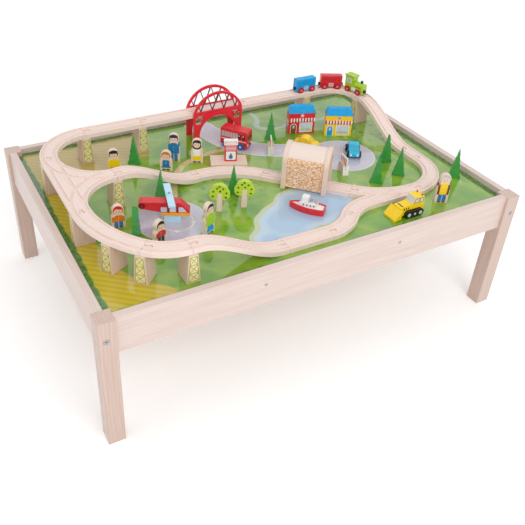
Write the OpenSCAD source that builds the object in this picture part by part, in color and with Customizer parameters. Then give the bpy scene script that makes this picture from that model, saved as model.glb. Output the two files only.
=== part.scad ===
// Train table: a low wooden play table whose printed board carries a wooden
// railway with a bridge, a tunnel, a train and the small toys of a town.
// Millimetres. +X runs along the long front rail, +Y away from it, +Z up.
// The origin is on the floor under the middle of the table.

/* [Table] */
// Length of the table over its legs
table_len = 1030; // [1010:1:1050]
// Width of the table over its legs
table_wid = 716; // [706:1:726]
// Height of the rail tops above the floor
table_h = 320; // [300:1:340]
// Side of the square legs
leg_w = 36; // [34:1:40]
// Thickness of the rails
rail_t = 16; // [15:1:18]
// Height of the rails
rail_h = 85; // [80:1:90]
// How far the rails stand back from the leg faces
rail_setback = 7; // [5:1:9]
// Depth of the play board below the rail tops
board_drop = 13; // [11:1:15]
// Thickness of the play board
board_t = 6; // [5:0.5:7]
// Gap all round the play board
board_gap = 0.5; // [0.3:0.1:0.9]
// Distance of each cross batten from the middle
batten_x = 168; // [150:1:180]
// Width of the cross battens
batten_w = 40; // [34:1:46]
// Height of the cross battens and of the end ledges
batten_h = 30; // [26:1:32]
// Thickness of the end ledges
ledge_t = 12; // [10:1:14]

/* [Table fixings] */
// Shank diameter of the leg bolts
bolt_d = 6; // [5:0.5:6.5]
// Head diameter of the leg bolts
bolt_head_d = 12; // [10:0.5:13]
// Height of the bolt heads
bolt_head_h = 4; // [3:0.5:5]
// Depth of the leg bolts below the rail tops
bolt_drop = 45; // [40:1:50]
// Distance of the barrel nuts from the rail ends
nut_inset = 30; // [26:1:34]
// Diameter of the barrel nuts
nut_d = 10; // [9:0.5:11]
// Diameter of the rail dowels
dowel_d = 8; // [7:0.5:9]
// Length of the rail dowels
dowel_len = 40; // [34:1:44]
// Shank diameter of the batten screws
screw_d = 4; // [3.5:0.5:5]
// Head diameter of the batten screws
screw_head_d = 8; // [7:0.5:9]
// Clearance round fixed pins in their holes
fix_gap = 0.1; // [0.05:0.05:0.2]

/* [Track] */
// Width of the track
track_w = 40; // [39:0.5:41]
// Thickness of the track
track_t = 12; // [11:0.5:13]
// Distance between the middles of the two grooves
groove_gauge = 26; // [25.5:0.5:26.5]
// Width of a groove
groove_w = 6.5; // [6.5:0.1:6.8]
// Depth of a groove
groove_depth = 3; // [2.8:0.1:3.2]
// Bevel on the upper edges of the track
track_bevel = 1; // [0.6:0.1:1.4]
// Diameter of a joining peg's head
peg_d = 11; // [10:0.5:11.5]
// Width of a joining peg's neck
peg_neck = 5.5; // [5:0.5:6]
// Distance of a peg's head from the end of the track
peg_reach = 12; // [11:0.5:13]
// Clearance round a joining peg
peg_gap = 0.5; // [0.4:0.1:0.7]
// How much narrower the curved branches of a junction are, on each side
branch_slim = 0.3; // [0.2:0.1:0.4]
// Gap between the ends of two joined tracks
joint_gap = 0.4; // [0.3:0.1:0.6]
// Height of the track supports
support_h = 67; // [64:1:70]
// Length of a support at its foot, along the track
support_foot = 30; // [28:1:33]
// Length of a support at its top, along the track
support_top = 20; // [18:1:22]
// Depth of a support across the track
support_deep = 44; // [42:1:48]

/* [Track layout] */
// Distance of the left run from the middle
left_run = 453; // [448:1:458]
// Distance of the back run from the middle
back_run = 242; // [238:1:246]
// Radius of the short curves and of the left junction
curve_r = 110; // [108:1:112]
// Radius of the back right curve
corner_r = 88; // [86:1:92]
// Radius of the long curves
long_curve_r = 202; // [200:1:205]
// Length of a full straight
straight_len = 144; // [142:1:146]
// Length of the straight before the bridge
bridge_lead = 136; // [134:1:138]
// Length of the front straight
front_len = 108; // [106:1:110]
// Length of the straight under the tunnel
tunnel_track_len = 216; // [214:1:218]
// Length of the short straight at the right
short_len = 54; // [52:1:56]
// Length of the middle ramp
mid_ramp_len = 217; // [215:1:219]
// Angle by which the middle ramp swings away
mid_ramp_swing = 7; // [6.5:0.1:7.5]
// Straight part of the right switch
switch_len = 134; // [132:1:136]

/* [Bridge] */
// Thickness of the bridge sides
bridge_t = 4; // [3.5:0.5:5]
// Rise of the bridge arch above the deck
bridge_rise = 52; // [50:1:55]
// Width of the arch ring
bridge_ring = 7; // [6.5:0.5:8]
// Radius of the road opening
bridge_opening_r = 53; // [51:1:53]
// Height of the upright sides of the road opening
bridge_jamb = 13; // [12:0.5:13]
// Width of the rib round the road opening
bridge_rib = 8; // [7:0.5:9]
// Width of the bridge's outer posts
bridge_stile = 6; // [5:0.5:7]
// Width of the bar between the two windows of a shoulder
bridge_strut = 3; // [2.5:0.5:4]
// Length of a ledge under the deck
bridge_ledge = 20; // [18:1:20]
// Depth and height of a ledge under the deck
bridge_ledge_t = 5; // [4:0.5:5]
// Height of the red band's top above the deck
bridge_band = 3; // [2.5:0.5:4]
// Width of a lattice bar
bridge_bar = 1.7; // [1.5:0.1:2.2]
// Gap between the deck and the bridge sides
bridge_gap = 0.4; // [0.3:0.1:0.6]

/* [Tunnel] */
// Distance of the tunnel's middle along its straight
tunnel_along = 108; // [103:1:112]
// Length of the tunnel over its end walls
tunnel_len = 108; // [104:1:112]
// Thickness of the end walls
tunnel_wall = 11; // [10:0.5:12]
// Width of the end walls
tunnel_w = 76; // [74:1:78]
// Height of the end walls
tunnel_h = 107; // [104:1:110]
// Width of the tunnel's opening
tunnel_open_w = 52; // [50:1:54]
// Height of the tunnel's opening
tunnel_open_h = 90; // [88:1:92]
// Thickness of the bent cover
cover_t = 3.5; // [3:0.5:4]
// Step from the end walls down to the cover
cover_step = 3; // [2.5:0.5:4]
// Height of the cover's lower edges above the board
cover_lift = 6; // [5:0.5:7]

/* [Platform and pump] */
// Middle of the platform, from the upper end of the tunnel track
platform_off = [-42.2, 96.7]; // [-400:0.1:400]
// Turn of the platform
platform_turn = -22.6; // [-26:0.1:-20]
// Length of the platform
platform_len = 91; // [86:1:94]
// Width of the platform
platform_wid = 50; // [46:1:52]
// Thickness of the platform
platform_t = 8; // [7:0.5:9]
// Middle of the pump, from the upper end of the tunnel track
pump_off = [-38.2, 94.7]; // [-400:0.1:400]
// Width of the pump
pump_w = 30; // [28:1:32]
// Depth of the pump
pump_deep = 16; // [14:1:18]
// Height of the pump under its sign
pump_h = 44; // [40:1:46]
// Height of the pump's sign
pump_sign_h = 11; // [10:1:13]

/* [Shops] */
// Middle of the red shop, from the foot of the back right curve
shop_red_off = [-189.8, 7]; // [-400:0.1:400]
// Turn of the red shop
shop_red_turn = -18; // [-22:1:-14]
// Middle of the yellow shop, from the foot of the back right curve
shop_yellow_off = [-104.8, -47]; // [-400:0.1:400]
// Turn of the yellow shop
shop_yellow_turn = -27; // [-30:1:-23]
// Width of a shop
shop_w = 72; // [68:1:75]
// Depth of a shop
shop_deep = 26; // [24:1:30]
// Height of a shop's wall
shop_wall_h = 59; // [56:1:62]
// Height of a shop's roof
shop_roof_h = 19; // [17:1:21]
// Set-back of the roof's ridge
shop_roof_in = 6; // [4:1:8]
// Overhang of the roof
shop_eave = 0.4; // [0.3:0.1:0.6]
// Height of the roof's upright edge
shop_fascia = 2; // [1.5:0.5:3]

/* [Trees] */
// Height of a pine
pine_h = 77; // [72:1:82]
// Width of a pine
pine_w = 31; // [29:1:34]
// Thickness of the trees
tree_t = 12; // [10:1:14]
// Tiers of a pine
pine_tiers = 5; // [4:1:6]
// Overhang of a pine's lowest tiers
pine_step = 2.6; // [2:0.2:3]
// Height of an apple tree
apple_h = 69; // [66:1:72]
// Width of an apple tree's crown
apple_w = 46; // [43:1:48]
// Width of an apple tree's trunk
apple_trunk_w = 13; // [12:1:15]

/* [Figures] */
// Width of a figure
figure_w = 30; // [28:1:32]
// Thickness of a figure
figure_t = 11; // [10:1:12]
// Diameter of a figure's head
figure_head_d = 25; // [24:1:26]

/* [Boat] */
// Middle of the boat, from the upper end of the tunnel track
boat_off = [17.8, -170.3]; // [-400:0.1:400]
// Turn of the boat's bow
boat_turn = 132; // [128:1:136]
// Length of the boat
boat_len = 84; // [80:1:88]
// Width of the boat
boat_w = 34; // [32:1:37]
// Height of the hull
hull_h = 15; // [14:1:17]
// Length of the cabin
cabin_len = 40; // [38:1:42]
// Height of the cabin
cabin_h = 13; // [12:1:15]

/* [Helicopter] */
// Rotor axis of the helicopter, from the foot of the left junction
heli_off = [82.4, -109.2]; // [-400:0.1:400]
// Turn of the helicopter's nose
heli_turn = -26; // [-30:1:-22]
// Distance of the cabin's middle ahead of the rotor axis
heli_ahead = 14; // [12:1:16]
// Length of the helicopter's cabin
heli_len = 60; // [57:1:63]
// Width of the helicopter's cabin
heli_w = 24; // [22:1:26]
// Height of the helicopter's cabin roof
heli_h = 49; // [47:1:51]
// Length of the tail behind the cabin
heli_tail = 42; // [40:1:45]
// Diameter of the tail's round end
heli_disc_d = 16; // [15:1:17]
// Height of the helicopter's landing block
heli_floor = 18; // [17:1:19]
// Height of the slab under the cabin
heli_sill = 7; // [6:1:8]
// Height of the mast under the rotor
heli_mast = 10; // [9:1:12]
// Diameter of the mast
heli_mast_d = 9; // [8:0.5:10]
// Length of the rotor
rotor_len = 94; // [90:1:98]
// Width of the rotor
rotor_w = 15; // [14:1:18]
// Thickness of the rotor
rotor_t = 4; // [3:0.5:5]
// Length of the rotor pin
rotor_pin_len = 18; // [16:1:20]
// Diameter of the rotor pin
rotor_pin_d = 4; // [3.5:0.5:5]

/* [Barriers] */
// Middle of the left barrier, from the upper end of the tunnel track
barrier_left_off = [79.8, 98.7]; // [-400:0.1:400]
// Turn of the left barrier
barrier_left_turn = -28; // [-32:1:-24]
// Middle of the right barrier, from the right curve
barrier_right_off = [-210.2, 40.9]; // [-400:0.1:400]
// Turn of the right barrier
barrier_right_turn = -16; // [-20:1:-12]
// Length of a barrier
barrier_len = 40; // [37:1:43]
// Height of a barrier's block
barrier_block_h = 24; // [22:1:26]
// Height of a barrier's board above the floor
barrier_h = 47; // [44:1:49]

/* [Train] */
// Wheel radius of the train
train_wheel_r = 9; // [8.8:0.1:9.2]
// Thickness of a train wheel
train_wheel_w = 3; // [2.8:0.1:3]
// Distance between the axles of a train vehicle
train_axles = 36; // [35:0.5:36]
// Length of a wagon
wagon_len = 60; // [58:1:62]
// Height of a wagon's roof above the track
wagon_h = 37; // [35:1:39]
// Length of the engine
engine_len = 60; // [58:1:62]
// Height of the engine's cab above the track
engine_h = 46; // [44:1:48]
// Width of the train's bodies, between the wheels
train_w = 21; // [20:0.2:21.2]
// Diameter of a magnet coupling
magnet_d = 9; // [8:0.5:10]
// Length of a magnet coupling
magnet_len = 5; // [4:0.5:5.5]
// Distance of the blue wagon's middle behind the back right curve
blue_wagon_back = 44.8; // [42:0.1:48]
// Place of the red wagon round the back right curve
red_wagon_angle = 65; // [64:1:67]
// Place of the engine round the back right curve
engine_angle = 15; // [13:1:16]
// Diameter of every axle
axle_d = 3; // [2.8:0.1:3.2]
// Radial clearance of the turning axles and of the rotor pin
run_gap = 0.08; // [0.05:0.01:0.1]
// Gap under the wheels
wheel_gap = 0.3; // [0.25:0.05:0.35]

/* [Road vehicles] */
// Middle of the bus, from the upper end of the tunnel track
bus_off = [17.6, 170]; // [-400:0.1:400]
// Heading of the bus
bus_turn = -52; // [-55:1:-49]
// Length of the bus
bus_len = 75; // [72:1:78]
// Width of the bus
bus_w = 32; // [30:1:34]
// Height of the bus
bus_h = 50; // [47:1:52]
// Middle of the yellow car, from the right curve
car_yellow_off = [-226.8, 185.6]; // [-400:0.1:400]
// Heading of the yellow car
car_yellow_turn = -50; // [-54:1:-46]
// Middle of the blue car, from the right curve
car_blue_off = [-132.8, 106.6]; // [-400:0.1:400]
// Heading of the blue car
car_blue_turn = -121; // [-124:1:-117]
// Length of a car
car_len = 64; // [61:1:67]
// Width of a car's body
car_w = 26; // [24:1:28]
// Height of a car
car_h = 33; // [31:1:35]
// Wheel radius of the cars and the bus
road_wheel_r = 9; // [8.5:0.1:9.5]
// Thickness of a road wheel
road_wheel_w = 5; // [4.5:0.1:5.5]
// Gap between a body and its wheels
wheel_side_gap = 0.5; // [0.4:0.1:0.7]

/* [Digger] */
// Middle of the digger along the front lane, from the switch's stem
digger_along = -75.8; // [-80:0.1:-70]
// Heading of the digger
digger_turn = 180; // [177:1:183]
// Length of the digger's body
digger_len = 68; // [65:1:71]
// Width of the digger's body
digger_w = 24; // [22:1:26]
// Height of the digger's cab
digger_h = 46; // [44:1:49]
// Height of the digger's hood
hood_h = 31; // [29:1:33]
// Fall of the digger's hood towards the blade
hood_drop = 4; // [3:0.5:5]
// Room under the digger's body
digger_floor = 6; // [5:0.5:7]
// Lean of the digger's cab walls
cab_rake = 4; // [3:0.5:5]
// Width of the digger's blade
blade_w = 40; // [38:1:42]
// Height of the digger's blade
blade_h = 24; // [22:1:26]
// Reach of the digger's sloping blade
blade_len = 18; // [16:1:20]
// Thickness of the blade's lower edge
blade_edge = 4; // [3:0.5:5]
// Width of a crawler track
crawler_w = 8; // [7:0.5:9]
// Height of a crawler track
crawler_h = 18; // [17:1:19]
// Length of a crawler track
crawler_len = 50; // [48:1:52]
// Distance of the crawlers behind the middle of the digger's body
crawler_back = 4; // [3:0.5:5]

/* [Hidden] */
$fn = 48;
eps = 0.02;

zb = table_h - board_drop;
zr = zb + support_h;
rail_in_x = table_len / 2 - rail_setback - rail_t;
rail_in_y = table_wid / 2 - rail_setback - rail_t;
leg_in_x = table_len / 2 - leg_w;
leg_in_y = table_wid / 2 - leg_w;
rail_mid_x = table_len / 2 - rail_setback - rail_t / 2;
rail_mid_y = table_wid / 2 - rail_setback - rail_t / 2;
rail_z0 = table_h - rail_h;
batten_z1 = zb - board_t;
batten_z0 = batten_z1 - batten_h;
screw_z = batten_z1 - batten_h / 2;
screw_len = rail_t + 26;
bolt_z = table_h - bolt_drop;
bolt_len = leg_w + nut_inset + 8;
dowel_z = [rail_z0 + rail_h * 0.26, rail_z0 + rail_h * 0.74];
axle_bore_r = axle_d / 2 + run_gap;
wheel_floor = -groove_depth + wheel_gap;

// A pose is [x, y, heading]. Each joint of the track is one pose, shared by
// the peg of one piece and by the slot of the next.
function ahead(p, d) = [p[0] + d * cos(p[2]), p[1] + d * sin(p[2]), p[2]];
function facing(p, h) = [p[0], p[1], h];
function turned(p, r, a) = [
    p[0] + sign(a) * r * (sin(p[2] + a) - sin(p[2])),
    p[1] - sign(a) * r * (cos(p[2] + a) - cos(p[2])),
    p[2] + a
];

j_west_top = [-left_run, back_run - curve_r, 90];
j_west_low = [-left_run, back_run - 3 * curve_r, -90];
j_west_mid = [-left_run + curve_r, back_run - 2 * curve_r, 0];
j_back_0 = turned(j_west_top, curve_r, -90);
j_back_1 = ahead(j_back_0, straight_len);
j_back_2 = ahead(j_back_1, bridge_lead);
j_back_3 = ahead(j_back_2, straight_len);
j_mid_1 = facing(ahead(facing(j_west_mid, mid_ramp_swing), mid_ramp_len), 0);
j_mid_2 = turned(j_mid_1, long_curve_r, -45);
j_mid_3 = ahead(j_mid_2, tunnel_track_len);
j_stem = turned(j_mid_3, long_curve_r, 45);
j_right_0 = turned(j_stem, curve_r, 90);
j_right_1 = ahead(j_right_0, short_len);
j_right_2 = [j_right_0[0], back_run - corner_r, -90];
j_back_4 = [j_right_0[0] - corner_r, back_run, 0];
j_front_0 = turned(ahead(facing(j_stem, 180), switch_len), curve_r, 45);
j_front_1 = turned(j_front_0, curve_r, -45);
j_front_2 = ahead(j_front_1, front_len);
front_curve_r = (j_west_low[1] - curve_r * (1 - cos(45)) - j_front_2[1]) / sin(45);
j_front_4 = turned(j_west_low, front_curve_r, 45);
j_front_3 = turned(j_front_4, curve_r, 45);
j_prop = turned(j_west_low, front_curve_r, 28);
blue_wagon_at = [j_back_4[0] - blue_wagon_back, back_run, 0];
back_prop = ahead(blue_wagon_at, -1);

// A toy stands at an offset from the joint of the track that it is next to.
// The front lane lies midway between the switch and the front rail.
function beside(j, off) = [j[0] + off[0], j[1] + off[1]];
function stand(j, x, y, turn) = [j[0] + x, j[1] + y, turn];
front_lane = facing([j_stem[0], (j_stem[1] - track_w / 2 - rail_in_y) / 2], 0);
right_lane = facing([(j_right_0[0] + rail_in_x) / 2, j_stem[1]], 0);
platform_at = beside(j_mid_2, platform_off);
pump_at = beside(j_mid_2, pump_off);
boat_at = beside(j_mid_2, boat_off);
bus_at = beside(j_mid_2, bus_off);
barrier_left_at = beside(j_mid_2, barrier_left_off);
barrier_right_at = beside(j_right_0, barrier_right_off);
car_yellow_at = beside(j_right_0, car_yellow_off);
car_blue_at = beside(j_right_0, car_blue_off);
shop_red_at = beside(j_right_2, shop_red_off);
shop_yellow_at = beside(j_right_2, shop_yellow_off);
heli_at = beside(j_west_mid, heli_off);
digger_at = beside(front_lane, [digger_along, 0]);

bridge_mid = (j_back_2[0] + j_back_3[0]) / 2;
bridge_half = straight_len / 2 - 2;
deck_top = support_h + track_t;
bridge_r = (pow(bridge_half, 2) + pow(bridge_rise, 2)) / (2 * bridge_rise);
bridge_zc = deck_top + bridge_rise - bridge_r;
tunnel_mid = ahead(j_mid_2, tunnel_along);
cover_w = tunnel_w - 2 * cover_step;

// On a bend the wheels need a little more room on their inner side.
bend_shift = 0.45;
vehicle_r = sqrt(pow(corner_r, 2) - pow(train_axles / 2, 2)) - bend_shift;
curve_mid = [j_back_4[0], back_run - corner_r];
red_wagon_at = [
    curve_mid[0] + vehicle_r * cos(red_wagon_angle),
    curve_mid[1] + vehicle_r * sin(red_wagon_angle),
    red_wagon_angle - 90
];
engine_at = [
    curve_mid[0] + vehicle_r * cos(engine_angle),
    curve_mid[1] + vehicle_r * sin(engine_angle),
    engine_angle - 90
];
train_axle_z = wheel_floor + train_wheel_r;
train_face = groove_gauge / 2 - train_wheel_w / 2;
road_axle_z = road_wheel_r + wheel_gap;
car_axles = car_len * 0.56;
bus_axles = bus_len * 0.55;
heli_end_x = heli_ahead - heli_len / 2 - heli_tail;
heli_end_z = heli_h - heli_disc_d / 2;

module at(p, z) {
    translate([p[0], p[1], z])
        rotate([0, 0, p[2]])
            children();
}

module spot(xy, turn, z) {
    translate([xy[0], xy[1], z])
        rotate([0, 0, turn])
            children();
}

// A block centred across X and Y that stands on z0.
module block(lx, ly, z0, z1) {
    translate([-lx / 2, -ly / 2, z0])
        cube([lx, ly, z1 - z0]);
}

// Draws a shape of X and Z upright, with its thickness along Y.
module upright(t) {
    translate([0, t / 2, 0])
        rotate([90, 0, 0])
            linear_extrude(t)
                children();
}

// A pin along local Y, centred.
module cross_pin(r, len) {
    rotate([90, 0, 0])
        cylinder(r = r, h = len, center = true);
}

// Table frame

module bolt_hole_y(x, side) {
    translate([x, side * table_wid / 2, bolt_z])
        rotate([side * 90, 0, 0]) {
            translate([0, 0, -1])
                cylinder(r = bolt_d / 2 + 2 * fix_gap, h = bolt_len + 4);
            translate([0, 0, -1])
                cylinder(r = bolt_head_d / 2 + 2 * fix_gap, h = bolt_head_h + 1);
        }
}

module dowel_holes(sx, sy) {
    for (z = dowel_z)
        translate([sx * leg_in_x, sy * rail_mid_y, z])
            rotate([0, 90, 0])
                cylinder(r = dowel_d / 2 + fix_gap, h = dowel_len + 2, center = true);
}

module leg(sx, sy) {
    difference() {
        translate([sx * (table_len - leg_w) / 2, sy * (table_wid - leg_w) / 2, 0])
            block(leg_w, leg_w, 0, table_h);
        bolt_hole_y(sx * rail_mid_x, sy);
        dowel_holes(sx, sy);
    }
}

module long_rail(sy) {
    difference() {
        translate([0, sy * rail_mid_y, 0])
            block(2 * leg_in_x, rail_t, rail_z0, table_h);
        for (sx = [-1, 1])
            dowel_holes(sx, sy);
        for (sx = [-1, 1])
            screw_hole(sx * batten_x, sy);
    }
}

module end_rail(sx) {
    difference() {
        translate([sx * rail_mid_x, 0, 0])
            block(rail_t, 2 * leg_in_y, rail_z0, table_h);
        for (sy = [-1, 1])
            bolt_hole_y(sx * rail_mid_x, sy);
        for (sy = [-1, 1])
            translate([sx * (rail_mid_x - 1.5), sy * (leg_in_y - nut_inset), bolt_z])
                rotate([0, 90, 0])
                    cylinder(r = nut_d / 2 + fix_gap, h = rail_t - 3 + eps, center = true);
    }
}

module screw_hole(x, side) {
    translate([x, side * (rail_mid_y + rail_t / 2), screw_z])
        rotate([side * 90, 0, 0]) {
            translate([0, 0, -1])
                cylinder(r = screw_d / 2 + fix_gap, h = screw_len + 3);
            translate([0, 0, -1])
                cylinder(r = screw_head_d / 2 + fix_gap, h = 4);
        }
}

module rail_front() {
    color("BurlyWood") long_rail(-1);
}

module rail_back() {
    color("BurlyWood") long_rail(1);
}

module rail_left() {
    color("BurlyWood") end_rail(-1);
}

module rail_right() {
    color("BurlyWood") end_rail(1);
}

module leg_front_left() {
    color("Tan") leg(-1, -1);
}

module leg_front_right() {
    color("Tan") leg(1, -1);
}

module leg_back_left() {
    color("Tan") leg(-1, 1);
}

module leg_back_right() {
    color("Tan") leg(1, 1);
}

module board() {
    color("YellowGreen")
        difference() {
            block(2 * (rail_in_x - board_gap), 2 * (rail_in_y - board_gap), zb - board_t, zb);
            for (sx = [-1, 1], sy = [-1, 1])
                translate([sx * (leg_in_x + 20 - board_gap), sy * (leg_in_y + 20 - board_gap), 0])
                    block(40, 40, zb - board_t - 1, zb + 1);
        }
}

module battens() {
    color("Wheat") {
        for (sx = [-1, 1])
            difference() {
                translate([sx * batten_x, 0, 0])
                    block(batten_w, 2 * rail_in_y, batten_z0, batten_z1);
                for (sy = [-1, 1])
                    screw_hole(sx * batten_x, sy);
            }
        for (sx = [-1, 1])
            translate([sx * (rail_in_x - ledge_t / 2), 0, 0])
                block(ledge_t, 2 * (leg_in_y - 1), batten_z1 - 16, batten_z1);
    }
}

module leg_bolts() {
    color("Silver")
        for (sx = [-1, 1], sy = [-1, 1])
            translate([sx * rail_mid_x, sy * table_wid / 2, bolt_z])
                rotate([sy * 90, 0, 0])
                    difference() {
                        union() {
                            cylinder(d = bolt_d, h = bolt_len);
                            cylinder(d = bolt_head_d, h = bolt_head_h);
                        }
                        translate([0, 0, -1])
                            cylinder(d = bolt_d * 0.7, h = 3, $fn = 6);
                    }
}

module barrel_nuts() {
    color("Silver")
        for (sx = [-1, 1], sy = [-1, 1])
            translate([sx * (rail_mid_x - 1.5), sy * (leg_in_y - nut_inset), bolt_z])
                difference() {
                    rotate([0, 90, 0])
                        cylinder(d = nut_d, h = rail_t - 4, center = true);
                    translate([sx * 1.5, 0, 0])
                        cross_pin(bolt_d / 2 + 0.05, nut_d * 2);
                }
}

module rail_dowels() {
    color("BurlyWood")
        for (sx = [-1, 1], sy = [-1, 1], z = dowel_z)
            translate([sx * leg_in_x, sy * rail_mid_y, z])
                rotate([0, 90, 0])
                    cylinder(d = dowel_d, h = dowel_len, center = true);
}

module batten_screws() {
    color("Silver")
        for (sx = [-1, 1], sy = [-1, 1])
            translate([sx * batten_x, sy * (rail_mid_y + rail_t / 2), screw_z])
                rotate([sy * 90, 0, 0]) {
                    cylinder(d = screw_d, h = screw_len);
                    cylinder(d = screw_head_d, h = 3);
                }
}

// Track sections and pieces

// A branch that starts inside another one is narrower by slim on each side.
module track_blank(slim = 0) {
    half = track_w / 2 - slim;
    polygon([
        [-half, 0],
        [half, 0],
        [half, track_t - track_bevel],
        [half - track_bevel, track_t],
        [-half + track_bevel, track_t],
        [-half, track_t - track_bevel]
    ]);
}

module track_grooves(slim = 0) {
    for (s = [-1, 1])
        translate([s * groove_gauge / 2 - groove_w / 2 + slim, track_t - groove_depth])
            square([groove_w - 2 * slim, groove_depth + 1]);
}

module track_section() {
    difference() {
        track_blank();
        track_grooves();
    }
}

// The section runs straight ahead from a pose.
module run(p, z, len) {
    at(p, z)
        rotate([90, 0, 90])
            linear_extrude(len)
                children();
}

// The section runs round a curve from a pose; a positive angle turns left.
module bend(p, z, r, a) {
    s = sign(a);
    at(p, z)
        translate([0, s * r, 0])
            rotate([0, 0, s > 0 ? -90 : 90 + a])
                rotate_extrude(angle = abs(a), $fn = 120)
                    translate([r, 0])
                        children();
}

module peg(j, z) {
    at(j, z) {
        translate([-1, -peg_neck / 2, 0])
            cube([peg_reach + 1, peg_neck, track_t - groove_depth]);
        translate([peg_reach, 0, 0])
            cylinder(d = peg_d, h = track_t - groove_depth);
    }
}

// Cuts the end of the piece that takes the peg of a joint.
module slot(j, z) {
    at(j, z) {
        translate([-8, -track_w, -40])
            cube([8 + joint_gap, 2 * track_w, 80]);
        translate([0, -peg_neck / 2 - peg_gap, -40])
            cube([peg_reach, peg_neck + 2 * peg_gap, 80]);
        translate([peg_reach, 0, -40])
            cylinder(d = peg_d + 2 * peg_gap, h = 80);
    }
}

module straight_piece(j, z, len) {
    difference() {
        run(j, z, len)
            track_section();
        slot(j, z);
    }
    peg(ahead(j, len), z);
}

module curve_piece(j, z, r, a) {
    difference() {
        bend(j, z, r, a)
            track_section();
        slot(j, z);
    }
    peg(turned(j, r, a), z);
}

module straights() {
    color("Bisque") {
        straight_piece(j_back_0, zr, straight_len);
        straight_piece(j_back_1, zr, bridge_lead);
        straight_piece(j_back_3, zr, j_back_4[0] - j_back_3[0]);
        straight_piece(j_mid_2, zb, tunnel_track_len);
        straight_piece(j_right_0, zb, short_len);
        run(facing(j_front_2, 0), zb, front_len)
            track_section();
        peg(facing(j_front_1, 0), zb);
        peg(j_front_2, zb);
    }
}

module corner_curves() {
    color("Bisque") {
        curve_piece(j_west_top, zr, curve_r, -90);
        curve_piece(j_back_4, zr, corner_r, -90);
        curve_piece(j_stem, zb, curve_r, 90);
    }
}

module curves_short() {
    color("Bisque") {
        curve_piece(j_front_4, zr, curve_r, 45);
        curve_piece(facing(j_front_1, 0), zb, curve_r, 45);
    }
}

module curves_long() {
    color("Bisque") {
        curve_piece(j_west_low, zr, front_curve_r, 45);
        bend(j_mid_1, zb, long_curve_r, -45)
            track_section();
        peg(facing(j_mid_1, 180), zb);
        peg(j_mid_2, zb);
    }
}

// The left junction: a straight run and two curved branches that meet.
// The first child is the section of the run, the second that of a branch.
module junction_paths() {
    start = facing(j_west_top, -90);
    run(start, zr, 2 * curve_r)
        children(0);
    bend(start, zr, curve_r, 90)
        children(1);
    bend(facing(j_west_low, 90), zr, curve_r, -90)
        children(1);
}

module junction_left() {
    color("Bisque") {
        difference() {
            union() {
                junction_paths() {
                    track_blank();
                    track_blank(branch_slim);
                }
                translate([-left_run + curve_r * 0.28, j_west_mid[1], zr])
                    block(curve_r * 0.4, curve_r * 0.5, 0, track_t);
            }
            junction_paths() {
                track_grooves();
                track_grooves(branch_slim);
            }
        }
        peg(j_west_top, zr);
        peg(j_west_low, zr);
        peg(j_west_mid, zr);
    }
}

// The right switch: one branch curves to the tunnel, one to the front.
// Each band of its plan lies from lo to hi, across the way ahead.
module band_run(p, len, lo, hi) {
    translate([p[0], p[1]])
        rotate(p[2])
            translate([0, lo])
                square([len, hi - lo]);
}

module band_bend(p, r, a, lo, hi) {
    s = sign(a);
    translate([p[0], p[1]])
        rotate(p[2])
            translate([0, s * r])
                intersection() {
                    difference() {
                        circle(r = r - (s > 0 ? lo : -hi), $fn = 120);
                        circle(r = r - (s > 0 ? hi : -lo), $fn = 120);
                    }
                    rotate(s > 0 ? -90 : 90 + a)
                        polygon([[0, 0], [2 * r, 0], [2 * r * cos(a), 2 * r * sin(abs(a))]]);
                }
}

module switch_plan(lo, hi, slim) {
    start = facing(j_stem, 180);
    band_run(start, switch_len, lo, hi);
    band_bend(ahead(start, switch_len), curve_r, 45, lo, hi);
    band_bend(start, long_curve_r, -45, lo + slim, hi - slim);
}

module switch_right() {
    color("Bisque") {
        difference() {
            translate([0, 0, zb])
                linear_extrude(track_t)
                    switch_plan(-track_w / 2, track_w / 2, branch_slim);
            for (mid = [-groove_gauge / 2, groove_gauge / 2])
                translate([0, 0, zb + track_t - groove_depth])
                    linear_extrude(groove_depth + 1)
                        switch_plan(mid - groove_w / 2, mid + groove_w / 2, branch_slim);
            slot(j_mid_3, zb);
            slot(facing(j_front_0, 45), zb);
        }
        peg(j_stem, zb);
    }
}

// Ramps: planks whose height follows an S between the two levels.
// Each end is level as far as a support reaches under it, also where the
// ramp swings away from the support's own heading.
ramp_steps = 20;
ramp_over = 4;
ramp_lead = support_top / 2 + support_deep / 2 * sin(mid_ramp_swing) + 0.8;
function ramp_rise(f) = support_h * (3 * f * f - 2 * f * f * f);
function ramp_line(len, dz) = concat(
    [[-ramp_over, dz]],
    [for (i = [0:ramp_steps])
        let (f = i / ramp_steps)
            [ramp_lead + (len - 2 * ramp_lead) * f, ramp_rise(f) + dz]],
    [[len + ramp_over, support_h + dz]]
);
function ramp_band(len, lo, hi) = concat(
    ramp_line(len, lo),
    [for (i = [ramp_steps + 2:-1:0]) ramp_line(len, hi)[i]]
);

// The ramp climbs ahead from the pose low to the pose high.
module ramp(low, high) {
    d = [high[0] - low[0], high[1] - low[1]];
    len = norm(d);
    difference() {
        at([low[0], low[1], atan2(d[1], d[0])], zb)
            difference() {
                upright(track_w)
                    polygon(ramp_band(len, 0, track_t));
                for (s = [-1, 1])
                    translate([0, s * groove_gauge / 2, 0])
                        upright(groove_w)
                            polygon(ramp_band(len, track_t - groove_depth, track_t + 2));
            }
        slot(low, zb);
        slot(high, zr);
    }
}

module ramps() {
    color("Bisque") {
        ramp(facing(j_mid_1, 180), j_west_mid);
        ramp(j_right_1, j_right_2);
        ramp(j_front_2, j_front_3);
    }
}

module support(p) {
    at(p, zb)
        upright(support_deep)
            polygon([
                [-support_foot / 2, 0],
                [support_foot / 2, 0],
                [support_top / 2, support_h],
                [-support_top / 2, support_h]
            ]);
}

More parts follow.
